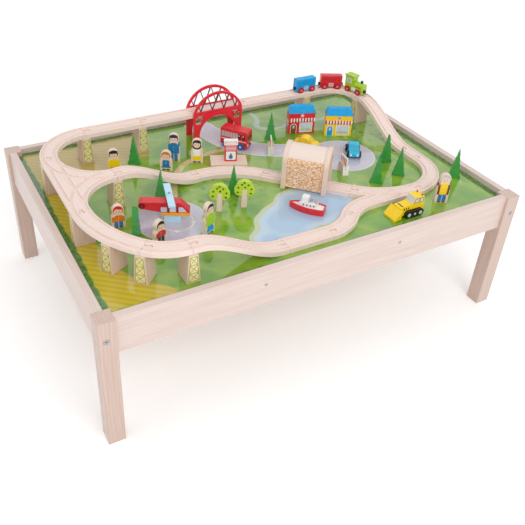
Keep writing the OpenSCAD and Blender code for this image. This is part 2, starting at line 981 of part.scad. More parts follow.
module supports() {
    color("PaleGoldenrod")
        for (p = [j_back_0, j_back_1, j_west_top, j_west_low, j_west_mid,
                  j_prop, j_front_4, j_front_3, back_prop, j_right_2])
            support(p);
}

// Bridge: two arched sides that carry the deck on inner ledges

module bridge_outline() {
    intersection() {
        union() {
            translate([0, bridge_zc])
                circle(r = bridge_r, $fn = 96);
            translate([-bridge_half, 0])
                square([2 * bridge_half, deck_top]);
        }
        translate([-bridge_half, 0])
            square([2 * bridge_half, 2 * bridge_r]);
    }
}

module bridge_top_opening(margin) {
    difference() {
        translate([0, bridge_zc])
            circle(r = bridge_r - bridge_ring + margin, $fn = 96);
        translate([-bridge_r, -bridge_r])
            square([2 * bridge_r, bridge_r + deck_top + bridge_band - margin]);
    }
}

// A zigzag of bars from the band to the ring.
module bridge_lattice() {
    pitch = bridge_half * 0.47;
    lean = 20;
    for (i = [-2:1], s = [-1, 1])
        translate([(i + 0.5) * pitch, deck_top + bridge_band])
            rotate([0, 0, s * lean])
                translate([-bridge_bar / 2, -2])
                    square([bridge_bar, bridge_rise * 1.6]);
}

module road_arch(margin) {
    translate([0, bridge_jamb])
        circle(r = bridge_opening_r + margin, $fn = 96);
    translate([-bridge_opening_r - margin, -1])
        square([2 * (bridge_opening_r + margin), bridge_jamb + 1]);
}

// Each shoulder is pierced by two windows with a strut between them.
module bridge_windows() {
    inner = bridge_half * 0.6;
    low = deck_top * 0.6;
    lean = 42;
    for (s = [0, 1])
        mirror([s, 0])
            difference() {
                translate([inner, low])
                    square([bridge_half - bridge_stile - inner, support_h + 4 - low]);
                road_arch(bridge_rib);
                translate([0, bridge_jamb])
                    rotate([0, 0, lean])
                        translate([0, -bridge_strut / 2])
                            square([2 * bridge_half, bridge_strut]);
            }
}

module bridge_side_shape() {
    difference() {
        bridge_outline();
        road_arch(0);
        bridge_top_opening(0);
        bridge_windows();
    }
    intersection() {
        bridge_lattice();
        bridge_top_opening(1);
    }
}

module bridge_side(s) {
    offset_y = track_w / 2 + bridge_gap + bridge_t / 2;
    ledge_x = bridge_half * 0.46;
    translate([bridge_mid, back_run + s * offset_y, zb]) {
        upright(bridge_t)
            bridge_side_shape();
        for (x = [-ledge_x, ledge_x])
            translate([x, -s * (bridge_t + bridge_ledge_t) / 2, 0])
                block(bridge_ledge, bridge_ledge_t + 2 * eps, support_h - bridge_ledge_t, support_h);
    }
}

module bridge_sides() {
    color("Crimson") {
        bridge_side(-1);
        bridge_side(1);
    }
}

module bridge_deck() {
    color("Bisque")
        straight_piece(j_back_2, zr, straight_len);
}

// Tunnel: two arched end walls and a bent cover between them

module arch_shape(w, h) {
    translate([-w / 2, 0])
        square([w, h - w / 2]);
    translate([0, h - w / 2])
        circle(d = w, $fn = 96);
}

module tunnel_ends() {
    color("Wheat")
        at(tunnel_mid, zb)
            for (s = [-1, 1])
                translate([s * (tunnel_len - tunnel_wall) / 2, 0, 0])
                    rotate([0, 0, 90])
                        upright(tunnel_wall)
                            difference() {
                                arch_shape(tunnel_w, tunnel_h);
                                translate([0, -1])
                                    arch_shape(tunnel_open_w, tunnel_open_h + 1);
                            }
}

module tunnel_cover() {
    color("Wheat")
        at(tunnel_mid, zb)
            rotate([0, 0, 90])
                upright(tunnel_len - 2 * tunnel_wall)
                    difference() {
                        arch_shape(cover_w, tunnel_h - cover_step);
                        translate([0, -1])
                            arch_shape(cover_w - 2 * cover_t, tunnel_h - cover_step - cover_t + 1);
                        translate([-cover_w, -1])
                            square([2 * cover_w, cover_lift + 1]);
                    }
}

// Platform and pump

module platform() {
    color("Wheat")
        spot(platform_at, platform_turn, zb)
            block(platform_len, platform_wid, 0, platform_t);
}

module pump() {
    color("Red")
        spot(pump_at, platform_turn, zb + platform_t) {
            block(pump_w, pump_deep, 0, pump_h);
            block(pump_w + 4, pump_deep * 0.8, pump_h - eps, pump_h + pump_sign_h);
        }
}

// Shops: solid blocks with a hipped roof

module shop() {
    roof_w = shop_w + 2 * shop_eave;
    roof_deep = shop_deep + 2 * shop_eave;
    slope_z = shop_wall_h + shop_fascia;
    slope = atan(shop_roof_in / (shop_roof_h - shop_fascia));
    block(shop_w, shop_deep, 0, shop_wall_h);
    difference() {
        block(roof_w, roof_deep, shop_wall_h - eps, shop_wall_h + shop_roof_h);
        for (s = [-1, 1])
            translate([s * roof_w / 2, 0, slope_z])
                rotate([0, -s * slope, 0])
                    translate([s * shop_w / 2, 0, 0])
                        block(shop_w, shop_deep * 3, -1, shop_roof_h * 2);
        for (s = [-1, 1])
            translate([0, s * roof_deep / 2, slope_z])
                rotate([s * slope, 0, 0])
                    translate([0, s * shop_w / 2, 0])
                        block(shop_w * 2, shop_w, -1, shop_roof_h * 2);
    }
}

module shop_red() {
    color("FireBrick")
        spot(shop_red_at, shop_red_turn, zb)
            shop();
}

module shop_yellow() {
    color("Gold")
        spot(shop_yellow_at, shop_yellow_turn, zb)
            shop();
}

// Trees

// One side of a pine: each tier steps in under the next.
function pine_edge(s) = [
    for (i = [0:pine_tiers - 1])
        each [
            [s * pine_w / 2 * (1 - i / pine_tiers), pine_h * (0.03 + 0.97 * i / pine_tiers)],
            [s * (pine_w / 2 * (1 - (i + 1) / pine_tiers) - pine_step * (1 - i / pine_tiers)),
             pine_h * (0.03 + 0.97 * (i + 1) / pine_tiers)]
        ]
];

module pine() {
    upright(tree_t)
        polygon(concat(
            [[pine_w / 2 - 2, 0]],
            [for (i = [0:2 * pine_tiers - 2]) pine_edge(1)[i]],
            [[0, pine_h]],
            [for (i = [2 * pine_tiers - 2:-1:0]) pine_edge(-1)[i]],
            [[-pine_w / 2 + 2, 0]]
        ));
}

pine_spots = [
    stand(j_back_0, 102, -64, -30),
    stand(j_west_mid, 96, -27, -30),
    stand(j_west_low, 103, -32, 52),
    stand(j_mid_2, -101.2, -40.3, -30),
    stand(j_mid_2, 118.8, 165.7, -30),
    stand(j_right_0, -80.8, 37.6, -20),
    stand(j_stem, -56.8, 73.6, -35),
    stand(j_stem, 17.2, 80.6, -40),
    stand(right_lane, -6.4, 14.6, -40)
];

module pines() {
    color("ForestGreen")
        for (p = pine_spots)
            at(p, zb)
                pine();
}

apple_spots = [stand(j_west_mid, 196, -123, -28), stand(j_west_mid, 254, -131, -28)];

module apple_trees() {
    color("YellowGreen")
        for (p = apple_spots)
            at(p, zb)
                upright(tree_t) {
                    translate([0, apple_h - apple_w * 0.42])
                        circle(d = apple_w * 0.84);
                    for (s = [-1, 1])
                        translate([s * apple_w * 0.22, apple_h - apple_w * 0.55])
                            circle(d = apple_w * 0.56);
                    translate([-apple_trunk_w / 2, 0])
                        square([apple_trunk_w, apple_h / 2]);
                }
}

// Figures: flat rounded pegs

// Each figure has a place and a height.
figure_spots = [
    [stand(j_back_0, 41, -92, -12), 66],
    [stand(j_mid_2, -161.2, 161.7, -30), 75],
    [stand(j_mid_2, -197.2, 126.7, -30), 53],
    [stand(j_mid_2, -113.2, 130.7, -28), 65],
    [stand(j_west_mid, -28, -91, -8), 57],
    [stand(j_west_low, 139, -69, 22), 56],
    [stand(j_west_mid, 135, -192, 25), 77],
    [stand(front_lane, 27.2, 5.8, -28), 76]
];

module figure_shape(h) {
    translate([0, h - figure_head_d / 2])
        circle(d = figure_head_d);
    translate([0, h * 0.42])
        circle(d = figure_w);
    translate([-figure_w / 2, 0])
        square([figure_w, h * 0.42]);
    translate([-figure_head_d * 0.42, h * 0.42])
        square([figure_head_d * 0.84, h * 0.58 - figure_head_d / 2]);
}

module figures() {
    color("Moccasin")
        for (f = figure_spots)
            at(f[0], zb)
                upright(figure_t)
                    figure_shape(f[1]);
}

// Boat

// The hull's outline from above: two arcs that meet in a blunt stem.
module boat_plan(inset) {
    r = (pow(boat_len * 0.66, 2) + pow(boat_w / 2, 2)) / boat_w;
    intersection() {
        translate([-boat_len * 0.16, boat_w / 2 - r])
            circle(r = r - inset, $fn = 120);
        translate([-boat_len * 0.16, r - boat_w / 2])
            circle(r = r - inset, $fn = 120);
        translate([-boat_len / 2 + inset, -boat_w])
            square([boat_len - 1.5 - 2 * inset, 2 * boat_w]);
    }
}

module boat_hull() {
    color("Red")
        spot(boat_at, boat_turn, zb)
            difference() {
                linear_extrude(hull_h)
                    boat_plan(0);
                translate([0, 0, hull_h - 3])
                    linear_extrude(4)
                        boat_plan(2.5);
            }
}

module boat_cabin() {
    color("White")
        spot(boat_at, boat_turn, zb + hull_h - 3) {
            translate([-4, 0, 0])
                block(cabin_len, boat_w * 0.56, 0, cabin_h);
            translate([4, 0, 0])
                block(cabin_len * 0.38, boat_w * 0.5, cabin_h - eps, cabin_h + 11);
            translate([-14, 0, 0])
                cylinder(d = 8, h = cabin_h + 10);
        }
}

// Helicopter

// One flat roof runs from the round end of the tail to the sloping nose.
module heli_side() {
    sill_z = heli_floor + heli_sill - eps;
    rear = heli_ahead - heli_len / 2;
    polygon([
        [heli_end_x, heli_h - heli_disc_d],
        [rear, sill_z],
        [rear + heli_len, sill_z],
        [rear + heli_len, sill_z + 3],
        [rear + heli_len * 0.66, heli_h],
        [heli_end_x, heli_h]
    ]);
    translate([heli_end_x, heli_end_z])
        circle(d = heli_disc_d);
}

module helicopter_body() {
    block_back = 7;
    color("Red")
        spot(heli_at, heli_turn, zb)
            difference() {
                union() {
                    translate([heli_ahead - block_back, 0, 0])
                        block(heli_len * 0.6, heli_w - 2, 0, heli_floor + eps);
                    translate([heli_ahead, 0, 0])
                        block(heli_len, heli_w + 4, heli_floor, heli_floor + heli_sill);
                    upright(heli_w)
                        heli_side();
                    translate([0, 0, heli_h - 1])
                        cylinder(d = heli_mast_d, h = heli_mast + 1);
                }
                translate([0, 0, heli_h + heli_mast - rotor_pin_len - 0.5])
                    cylinder(r = rotor_pin_d / 2 + run_gap, h = 2 * rotor_pin_len);
                translate([heli_end_x, 0, heli_end_z])
                    cross_pin(heli_disc_d * 0.25, heli_w * 2);
            }
}

module helicopter_rotor() {
    color("SkyBlue")
        spot(heli_at, heli_turn + 100, zb + heli_h + heli_mast + 0.5) {
            block(rotor_len, rotor_w, 0, rotor_t);
            cylinder(d = rotor_w * 0.8, h = rotor_t + 3);
            translate([0, 0, -rotor_pin_len])
                cylinder(d = rotor_pin_d, h = rotor_pin_len + 1);
        }
}

// Road barriers: a block with a striped board in its slot

module barrier() {
    difference() {
        rotate([0, 0, 90])
            upright(15)
                polygon([
                    [-barrier_len / 2, 0],
                    [barrier_len / 2, 0],
                    [barrier_len / 2 - 5, barrier_block_h],
                    [-barrier_len / 2 + 5, barrier_block_h]
                ]);
        block(3.1, barrier_len + 2, barrier_block_h - 8, barrier_h);
    }
    rotate([0, 0, 90])
        upright(3)
            polygon([
                [-barrier_len / 2, barrier_block_h - 8],
                [barrier_len / 2, barrier_block_h - 8],
                [barrier_len / 2, barrier_h - 6],
                [-barrier_len / 2, barrier_h]
            ]);
}

module barriers() {
    color("Wheat") {
        spot(barrier_left_at, barrier_left_turn, zb)
            barrier();
        spot(barrier_right_at, barrier_right_turn, zb)
            barrier();
    }
}

// Wheels and axles

module wheelset(r, w, face) {
    cross_pin(axle_d / 2, 2 * (face + w));
    for (s = [-1, 1])
        translate([0, s * (face + w / 2), 0])
            cross_pin(r, w);
    for (s = [-1, 1])
        translate([0, s * (face + w + 0.4), 0])
            cross_pin(r * 0.36, 0.8 + eps);
}

module axle_bores(span, z) {
    for (s = [-1, 1])
        translate([s * span / 2, 0, z])
            cross_pin(axle_bore_r, 80);
}

module train_axle(p, s) {
    color("FireBrick")
        at(p, zr + track_t)
            translate([s * train_axles / 2, 0, train_axle_z])
                wheelset(train_wheel_r, train_wheel_w, train_face);
}

module road_axle(xy, turn, span, body_w, s, tone) {
    color(tone)
        spot(xy, turn, zb)
            translate([s * span / 2, 0, road_axle_z])
                wheelset(road_wheel_r, road_wheel_w, body_w / 2 + wheel_side_gap);
}

// Train bodies, with x ahead and z from the top of the track

module wagon() {
    round_r = 3;
    difference() {
        rotate([0, 0, 90])
            upright(wagon_len) {
                translate([-train_w / 2, 3])
                    square([train_w, wagon_h - 3 - round_r]);
                translate([-train_w / 2 + round_r, wagon_h - 2 * round_r])
                    square([train_w - 2 * round_r, 2 * round_r]);
                for (s = [-1, 1])
                    translate([s * (train_w / 2 - round_r), wagon_h - round_r])
                        circle(r = round_r);
            }
        axle_bores(train_axles, train_axle_z);
    }
}

// The engine: a tall cab, a lower bonnet with a round back and a chimney.
module engine() {
    bonnet_h = engine_h * 0.68;
    cab_len = engine_len * 0.46;
    difference() {
        union() {
            translate([0, 0, 0])
                block(engine_len, train_w, 3, bonnet_h - train_w / 2);
            translate([-engine_len / 2 + cab_len / 2, 0, 0])
                block(cab_len, train_w, 3, engine_h - 4);
            translate([-engine_len / 2 + cab_len / 2, 0, 0])
                block(cab_len + 4, train_w + 3, engine_h - 4 - eps, engine_h);
            translate([0, 0, bonnet_h - train_w / 2])
                rotate([0, 90, 0])
                    cylinder(d = train_w, h = engine_len / 2);
            translate([engine_len * 0.32, 0, bonnet_h - 6])
                cylinder(d = 7, h = 12);
        }
        axle_bores(train_axles, train_axle_z);
    }
}

module engine_body() {
    color("GreenYellow")
        at(engine_at, zr + track_t)
            engine();
}

module engine_axle_front() {
    train_axle(engine_at, 1);
}

module engine_axle_rear() {
    train_axle(engine_at, -1);
}

module wagon_blue_body() {
    color("DeepSkyBlue")
        at(blue_wagon_at, zr + track_t)
            wagon();
}

module wagon_blue_axle_front() {
    train_axle(blue_wagon_at, 1);
}

module wagon_blue_axle_rear() {
    train_axle(blue_wagon_at, -1);
}

module wagon_red_body() {
    color("Crimson")
        at(red_wagon_at, zr + track_t)
            wagon();
}

module wagon_red_axle_front() {
    train_axle(red_wagon_at, 1);
}

module wagon_red_axle_rear() {
    train_axle(red_wagon_at, -1);
}

module magnet_pair(p, len) {
    at(p, zr + track_t)
        for (s = [-1, 1])
            translate([s * (len + magnet_len) / 2, 0, 10])
                rotate([0, 90, 0])
                    cylinder(d = magnet_d, h = magnet_len, center = true);
}

module magnets() {
    color("DimGray") {
        magnet_pair(engine_at, engine_len);
        magnet_pair(red_wagon_at, wagon_len);
    }
}

module wagon_blue_magnets() {
    color("DimGray")
        magnet_pair(blue_wagon_at, wagon_len);
}

// Bus and cars, with x ahead and z from the board

module bus_body() {
    color("Red")
        spot(bus_at, bus_turn, zb)
            difference() {
                upright(bus_w) {
                    translate([-bus_len / 2, 6])
                        square([bus_len - 8, bus_h - 6]);
                    translate([-bus_len / 2, 6])
                        square([bus_len, bus_h - 14]);
                    translate([bus_len / 2 - 8, bus_h - 8])
                        circle(r = 8);
                }
                axle_bores(bus_axles, road_axle_z);
            }
}

module bus_axle_front() {
    road_axle(bus_at, bus_turn, bus_axles, bus_w, 1, "RoyalBlue");
}

module bus_axle_rear() {
    road_axle(bus_at, bus_turn, bus_axles, bus_w, -1, "RoyalBlue");
}

module car_shape() {
    translate([-car_len / 2 + 6, 5])
        square([car_len - 12, 15]);
    for (s = [-1, 1])
        translate([s * (car_len / 2 - 7.5), 12.5])
            circle(d = 15);
    intersection() {
        translate([-3, car_h - 23])
            circle(r = 23, $fn = 96);
        translate([-23, 10])
            square([42, car_h]);
    }
}

module car() {
    difference() {
        upright(car_w)
            car_shape();
        axle_bores(car_axles, road_axle_z);
    }
}

module car_yellow_body() {
    color("Gold")
        spot(car_yellow_at, car_yellow_turn, zb)
            car();
}

module car_yellow_axle_front() {
    road_axle(car_yellow_at, car_yellow_turn, car_axles, car_w, 1, "DimGray");
}

module car_yellow_axle_rear() {
    road_axle(car_yellow_at, car_yellow_turn, car_axles, car_w, -1, "DimGray");
}

module car_blue_body() {
    color("DeepSkyBlue")
        spot(car_blue_at, car_blue_turn, zb)
            car();
}

module car_blue_axle_front() {
    road_axle(car_blue_at, car_blue_turn, car_axles, car_w, 1, "DimGray");
}

module car_blue_axle_rear() {
    road_axle(car_blue_at, car_blue_turn, car_axles, car_w, -1, "DimGray");
}

// Digger

module digger_body() {
    rear = -digger_len / 2;
    front = digger_len / 2;
    color("Gold")
        spot(digger_at, digger_turn, zb) {
            upright(digger_w)
                polygon([
                    [rear, digger_floor],
                    [front, digger_floor],
                    [front, hood_h - hood_drop],
                    [0, hood_h],
                    [-cab_rake, digger_h],
                    [rear + cab_rake, digger_h],
                    [rear, hood_h]
                ]);
            translate([front - eps, 0, 0])
                upright(blade_w)
                    polygon([[0, blade_edge], [blade_len, 0], [blade_len, blade_edge], [0, blade_h]]);
        }
}

module digger_crawlers() {
    end_r = crawler_h / 2;
    color("DimGray")
        spot(digger_at, digger_turn, zb)
            for (s = [-1, 1])
                translate([-crawler_back, s * (digger_w + crawler_w) / 2, 0])
                    upright(crawler_w) {
                        translate([end_r - crawler_len / 2, 0])
                            square([crawler_len - crawler_h, crawler_h]);
                        for (e = [-1, 1])
                            translate([e * (crawler_len / 2 - end_r), end_r])
                                circle(d = crawler_h);
                    }
}

rail_front();
rail_back();
rail_left();
rail_right();
leg_front_left();
leg_front_right();
leg_back_left();
leg_back_right();
board();
battens();
leg_bolts();
barrel_nuts();
rail_dowels();
batten_screws();
straights();
ramps();
corner_curves();
curves_short();
curves_long();
junction_left();
switch_right();
supports();
bridge_sides();
bridge_deck();
tunnel_ends();
tunnel_cover();
platform();
pump();
shop_red();
shop_yellow();
pines();
apple_trees();
figures();
boat_hull();
boat_cabin();
helicopter_body();
helicopter_rotor();
barriers();
engine_body();
engine_axle_front();
engine_axle_rear();
wagon_blue_body();
wagon_blue_axle_front();
wagon_blue_axle_rear();
wagon_red_body();
wagon_red_axle_front();
wagon_red_axle_rear();
magnets();
wagon_blue_magnets();
bus_body();
bus_axle_front();
bus_axle_rear();
car_yellow_body();
car_yellow_axle_front();
car_yellow_axle_rear();
car_blue_body();
car_blue_axle_front();
car_blue_axle_rear();
digger_body();
digger_crawlers();
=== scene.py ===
"""Dresses the train table: wood, paint, printed board and the small toys on it.

Lengths in this file are millimetres unless a name says otherwise; the frame
itself is in metres, with X along the long front rail and Z up.
"""

import logging
import math
import random
from dataclasses import dataclass, field
from enum import Enum
from typing import Callable, Iterable, Optional, Sequence

import bmesh
import bpy
import numpy as np
from mathutils import Matrix, Vector


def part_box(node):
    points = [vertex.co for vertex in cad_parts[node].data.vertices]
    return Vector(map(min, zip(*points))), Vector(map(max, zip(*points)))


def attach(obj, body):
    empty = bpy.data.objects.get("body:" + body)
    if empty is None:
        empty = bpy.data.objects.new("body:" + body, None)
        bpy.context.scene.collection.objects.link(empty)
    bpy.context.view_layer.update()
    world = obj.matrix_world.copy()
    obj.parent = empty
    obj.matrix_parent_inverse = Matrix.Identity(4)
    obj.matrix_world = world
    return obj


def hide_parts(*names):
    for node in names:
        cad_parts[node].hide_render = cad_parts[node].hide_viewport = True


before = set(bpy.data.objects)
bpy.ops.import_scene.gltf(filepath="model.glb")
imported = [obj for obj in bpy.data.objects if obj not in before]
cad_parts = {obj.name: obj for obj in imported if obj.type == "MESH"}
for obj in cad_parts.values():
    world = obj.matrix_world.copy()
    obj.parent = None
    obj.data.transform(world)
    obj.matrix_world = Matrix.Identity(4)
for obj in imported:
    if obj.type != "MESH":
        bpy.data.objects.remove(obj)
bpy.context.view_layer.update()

LOG = logging.getLogger("train_table")
MM = 0.001
BOARD_TOP = 307.0
TRACK_TOP = 386.0
# Angles between the two faces of an edge: below the first it is dissolved, above
# the second it is eased, and below the third it is shaded smooth.
FLAT_ANGLE = math.radians(0.4)
EASED_ANGLE = math.radians(30)
SMOOTH_ANGLE = math.radians(38)
# How near two points of a CAD mesh are one, and how short an edge is dropped, in metres.
WELD = 3e-6
SLIVER = 2e-6
# How deep a printed patch reaches below its face.
PRINT_ROOT = 0.5

Tree = bpy.types.NodeTree
Node = bpy.types.Node
Socket = bpy.types.NodeSocket
Point = tuple[float, float]
Outline = list[Point]
Spot = tuple[Matrix, tuple[float, float, float]]
Rule = Callable[[Vector, Vector], "Finish"]
Prints = Iterable[tuple[Outline, "Finish", float]]


def linear(code: str) -> tuple[float, float, float, float]:
    """Turns an sRGB hex colour into the linear values that shaders use.

    Args:
        code: The colour, such as "D8202F".

    Returns:
        Linear red, green, blue and an alpha of one.
    """
    parts = [int(code[i:i + 2], 16) / 255 for i in (0, 2, 4)]
    low = [c / 12.92 if c <= 0.04045 else ((c + 0.055) / 1.055) ** 2.4 for c in parts]
    return (low[0], low[1], low[2], 1.0)


def add(tree: Tree, kind: str, inputs: Optional[dict] = None, **settings) -> Node:
    """Adds one node with its settings and its links.

    Args:
        tree: The node tree that takes the node.
        kind: The node's type name.
        inputs: Input name or number to a socket, which is linked, or to a value.
        **settings: Properties set on the node before its inputs.

    Returns:
        The new node.
    """
    node = tree.nodes.new(kind)
    for key, value in settings.items():
        setattr(node, key, value)
    plug(tree, node, inputs or {})
    return node


def plug(tree: Tree, node: Node, inputs: dict) -> None:
    """Links the sockets given for a node's inputs, and sets the plain values."""
    for key, value in inputs.items():
        if isinstance(value, Socket):
            tree.links.new(value, node.inputs[key])
        else:
            node.inputs[key].default_value = value


def emptied(owner: bpy.types.Material | bpy.types.World) -> Tree:
    """The node tree of a material or a world, cleared."""
    owner.use_nodes = True
    owner.node_tree.nodes.clear()
    return owner.node_tree


def stand(name: str, data: bpy.types.ID) -> bpy.types.Object:
    """Puts an object with the given data into the scene."""
    made = bpy.data.objects.new(name, data)
    bpy.context.scene.collection.objects.link(made)
    return made


# Finishes


@dataclass(frozen=True)
class Finish:
    """Something a surface can be finished with; made once and shared."""

    name: str

    def material(self) -> bpy.types.Material:
        """The material of this finish, built when first asked for."""
        found = bpy.data.materials.get(self.name)
        if found:
            return found
        made = bpy.data.materials.new(self.name)
        tree = emptied(made)
        shader = add(tree, "ShaderNodeBsdfPrincipled")
        self.wire(tree, shader)
        add(tree, "ShaderNodeOutputMaterial", {"Surface": shader.outputs[0]})
        return made

    def wire(self, tree: Tree, shader: Node) -> None:
        """Links the pattern of this finish to its shader."""
        raise NotImplementedError


def ramp(tree: Tree, factor: Socket, stops: Sequence[tuple[float, str]]) -> Socket:
    """Adds a colour ramp.

    Args:
        tree: The node tree.
        factor: What drives the ramp.
        stops: Position and sRGB hex of each colour, in order.

    Returns:
        The ramp's colour socket.
    """
    node = add(tree, "ShaderNodeValToRGB", {0: factor})
    bar = node.color_ramp.elements
    while len(bar) < len(stops):
        bar.new(0.5)
    for mark, (place, code) in zip(bar, stops):
        mark.position = place
        mark.color = linear(code)
    return node.outputs[0]


def scaled(tree: Tree, vector: Socket, by: tuple[float, float, float]) -> Socket:
    """Stretches a coordinate; a factor is repeats per unit of it."""
    node = add(tree, "ShaderNodeVectorMath", {0: vector, 1: by}, operation="MULTIPLY")
    return node.outputs[0]


def blend(tree: Tree, factor, low, high, kind: str = "MIX") -> Socket:
    """Mixes two colours, each a socket or a linear colour."""
    node = add(tree, "ShaderNodeMix", {0: factor, 6: low, 7: high}, data_type="RGBA", blend_type=kind)
    return node.outputs[2]


def spread(tree: Tree, value, low: float, high: float, to_low: float, to_high: float) -> Socket:
    """Maps a value from one range smoothly into another."""
    inputs = {"Value": value, "From Min": low, "From Max": high, "To Min": to_low, "To Max": to_high}
    return add(tree, "ShaderNodeMapRange", inputs, interpolation_type="SMOOTHSTEP").outputs[0]


def noise(tree: Tree, vector: Socket, scale: float, detail: float, **more: float) -> Socket:
    """Adds cloudy noise; its scale is clouds per unit of the vector."""
    inputs = {"Vector": vector, "Scale": scale, "Detail": detail, **more}
    return add(tree, "ShaderNodeTexNoise", inputs).outputs[0]


def maths(tree: Tree, kind: str, *values) -> Socket:
    """Adds one step of arithmetic on sockets or numbers."""
    return add(tree, "ShaderNodeMath", dict(enumerate(values)), operation=kind).outputs[0]


def relief(tree: Tree, height: Socket, strength: float, depth: float) -> Socket:
    """Turns a height into a normal; the depth is in metres."""
    inputs = {"Strength": strength, "Distance": depth, "Height": height}
    return add(tree, "ShaderNodeBump", inputs).outputs[0]


def place_of(tree: Tree) -> Socket:
    """Where a point lies on its object, in metres."""
    return add(tree, "ShaderNodeTexCoord").outputs["Object"]


def grain_of(tree: Tree) -> Socket:
    """Where a point lies along and across the grain, in millimetres."""
    return add(tree, "ShaderNodeAttribute", attribute_name="grain").outputs["Vector"]


@dataclass(frozen=True)
class Wood(Finish):
    """Planed wood under a thin clear lacquer; the eye sees long soft streaks
    along the piece, a few darker year lines and very fine pores."""

    pale: str
    dark: str
    streak: float
    length: float
    rough: float
    coat: float

    def wire(self, tree: Tree, shader: Node) -> None:
        """Streaks, year lines and pores that follow the grain attribute."""
        grain = grain_of(tree)
        drawn = scaled(tree, grain, (1 / self.length, 1 / self.streak, 1 / self.streak))
        wide = noise(tree, drawn, 1.0, 4.0, Roughness=0.6)
        rings = add(tree, "ShaderNodeTexWave", {
            "Vector": scaled(tree, grain, (0.004, 0.028, 0.05)),
            "Scale": 1.6, "Distortion": 7.0, "Detail": 2.0, "Detail Scale": 0.8,
        }, bands_direction="Y").outputs["Fac"]
        pores = noise(tree, scaled(tree, grain, (0.09, 2.4, 2.4)), 1.0, 2.0)
        mixed = maths(tree, "MULTIPLY_ADD", rings, 0.2, wide)
        colour = ramp(tree, mixed, ((0.34, self.pale), (0.98, self.dark)))
        dots = spread(tree, pores, 0.62, 0.76, 0.0, 0.12)
        plug(tree, shader, {
            "Base Color": blend(tree, dots, colour, linear(self.dark), "MULTIPLY"),
            "Roughness": spread(tree, pores, 0.3, 0.8, self.rough - 0.06, self.rough + 0.1),
            "Normal": relief(tree, pores, 0.12, 0.0002),
            "Coat Weight": self.coat, "Coat Roughness": 0.3,
        })


@dataclass(frozen=True)
class Paint(Finish):
    """Sprayed water-based enamel on wood; the eye sees a nearly even colour
    with cloudy depth, a faint grain below it and a satin skin."""

    colour: str
    shade: str
    rough: float = 0.36
    coat: float = 0.25

    def wire(self, tree: Tree, shader: Node) -> None:
        """Cloudy tone, orange peel and the grain that shows through."""
        spot = place_of(tree)
        cloud = noise(tree, spot, 90.0, 3.0)
        peel = noise(tree, spot, 1400.0, 1.0)
        lines = noise(tree, scaled(tree, grain_of(tree), (0.03, 0.9, 0.9)), 1.0, 3.0)
        tone = linear(self.colour)
        deep = linear(self.shade) if self.shade else (tone[0] * 0.8, tone[1] * 0.8, tone[2] * 0.82, 1.0)
        mixed = maths(tree, "MULTIPLY_ADD", lines, 0.4, cloud)
        height = maths(tree, "MULTIPLY_ADD", lines, 0.6, peel)
        plug(tree, shader, {
            "Base Color": blend(tree, spread(tree, mixed, 0.45, 1.05, 0.0, 0.8), tone, deep),
            "Roughness": spread(tree, cloud, 0.2, 0.8, self.rough - 0.06, self.rough + 0.08),
            "Normal": relief(tree, height, 0.07, 0.0001),
            "Coat Weight": self.coat, "Coat Roughness": 0.2,
        })


@dataclass(frozen=True)
class Plastic(Finish):
    """Injection-moulded plastic; the eye sees an even colour, a soft gloss and
    a fine spark-eroded texture."""

    colour: str
    rough: float

    def wire(self, tree: Tree, shader: Node) -> None:
        """Faint flow marks and a fine texture."""
        spot = place_of(tree)
        flow = noise(tree, spot, 120.0, 2.0, Distortion=1.2)
        fine = noise(tree, spot, 2600.0, 1.0)
        tone = linear(self.colour)
        deep = (tone[0] * 0.84, tone[1] * 0.84, tone[2] * 0.84, 1.0)
        plug(tree, shader, {
            "Base Color": blend(tree, flow, tone, deep),
            "Roughness": spread(tree, flow, 0.2, 0.8, self.rough - 0.05, self.rough + 0.07),
            "Normal": relief(tree, fine, 0.05, 0.00005),
        })


@dataclass(frozen=True)
class Steel(Finish):
    """Zinc-plated steel; the eye sees grey metal with cloudy bright spots."""

    colour: str = "C3C6CA"

    def wire(self, tree: Tree, shader: Node) -> None:
        """Cloudy plating, duller where it is pale."""
        cloud = noise(tree, place_of(tree), 300.0, 4.0)
        plug(tree, shader, {
            "Base Color": ramp(tree, cloud, ((0.3, "9DA2A8"), (0.75, self.colour))),
            "Roughness": spread(tree, cloud, 0.25, 0.8, 0.22, 0.42),
            "Metallic": 1.0,
        })


@dataclass(frozen=True)
class BridgePaint(Paint):
    """Sprayed enamel with dark lattice bars; the eye sees a red arch and thin
    maroon bars inside it, above the band."""

    bar: str = "6B2A32"
    middle: tuple = (9.0, BOARD_TOP + 59.1)
    ring: float = 65.4
    band: float = BOARD_TOP + 82.2

    def wire(self, tree: Tree, shader: Node) -> None:
        """The enamel, and a mask of the space inside the ring."""
        super().wire(tree, shader)
        enamel = shader.inputs["Base Color"].links[0].from_socket
        spot = place_of(tree)
        centre = (self.middle[0] * MM, 0.0, self.middle[1] * MM)
        away = add(tree, "ShaderNodeVectorMath", {0: spot, 1: centre}, operation="SUBTRACT").outputs[0]
        flat = scaled(tree, away, (1.0, 0.0, 1.0))
        reach = add(tree, "ShaderNodeVectorMath", {0: flat}, operation="LENGTH").outputs["Value"]
        within = spread(tree, reach, (self.ring - 0.3) * MM, (self.ring + 0.3) * MM, 1.0, 0.0)
        up = add(tree, "ShaderNodeSeparateXYZ", {0: spot}).outputs[2]
        above = spread(tree, up, (self.band - 0.3) * MM, (self.band + 0.3) * MM, 0.0, 1.0)
        mask = maths(tree, "MULTIPLY", within, above)
        plug(tree, shader, {"Base Color": blend(tree, mask, enamel, linear(self.bar))})


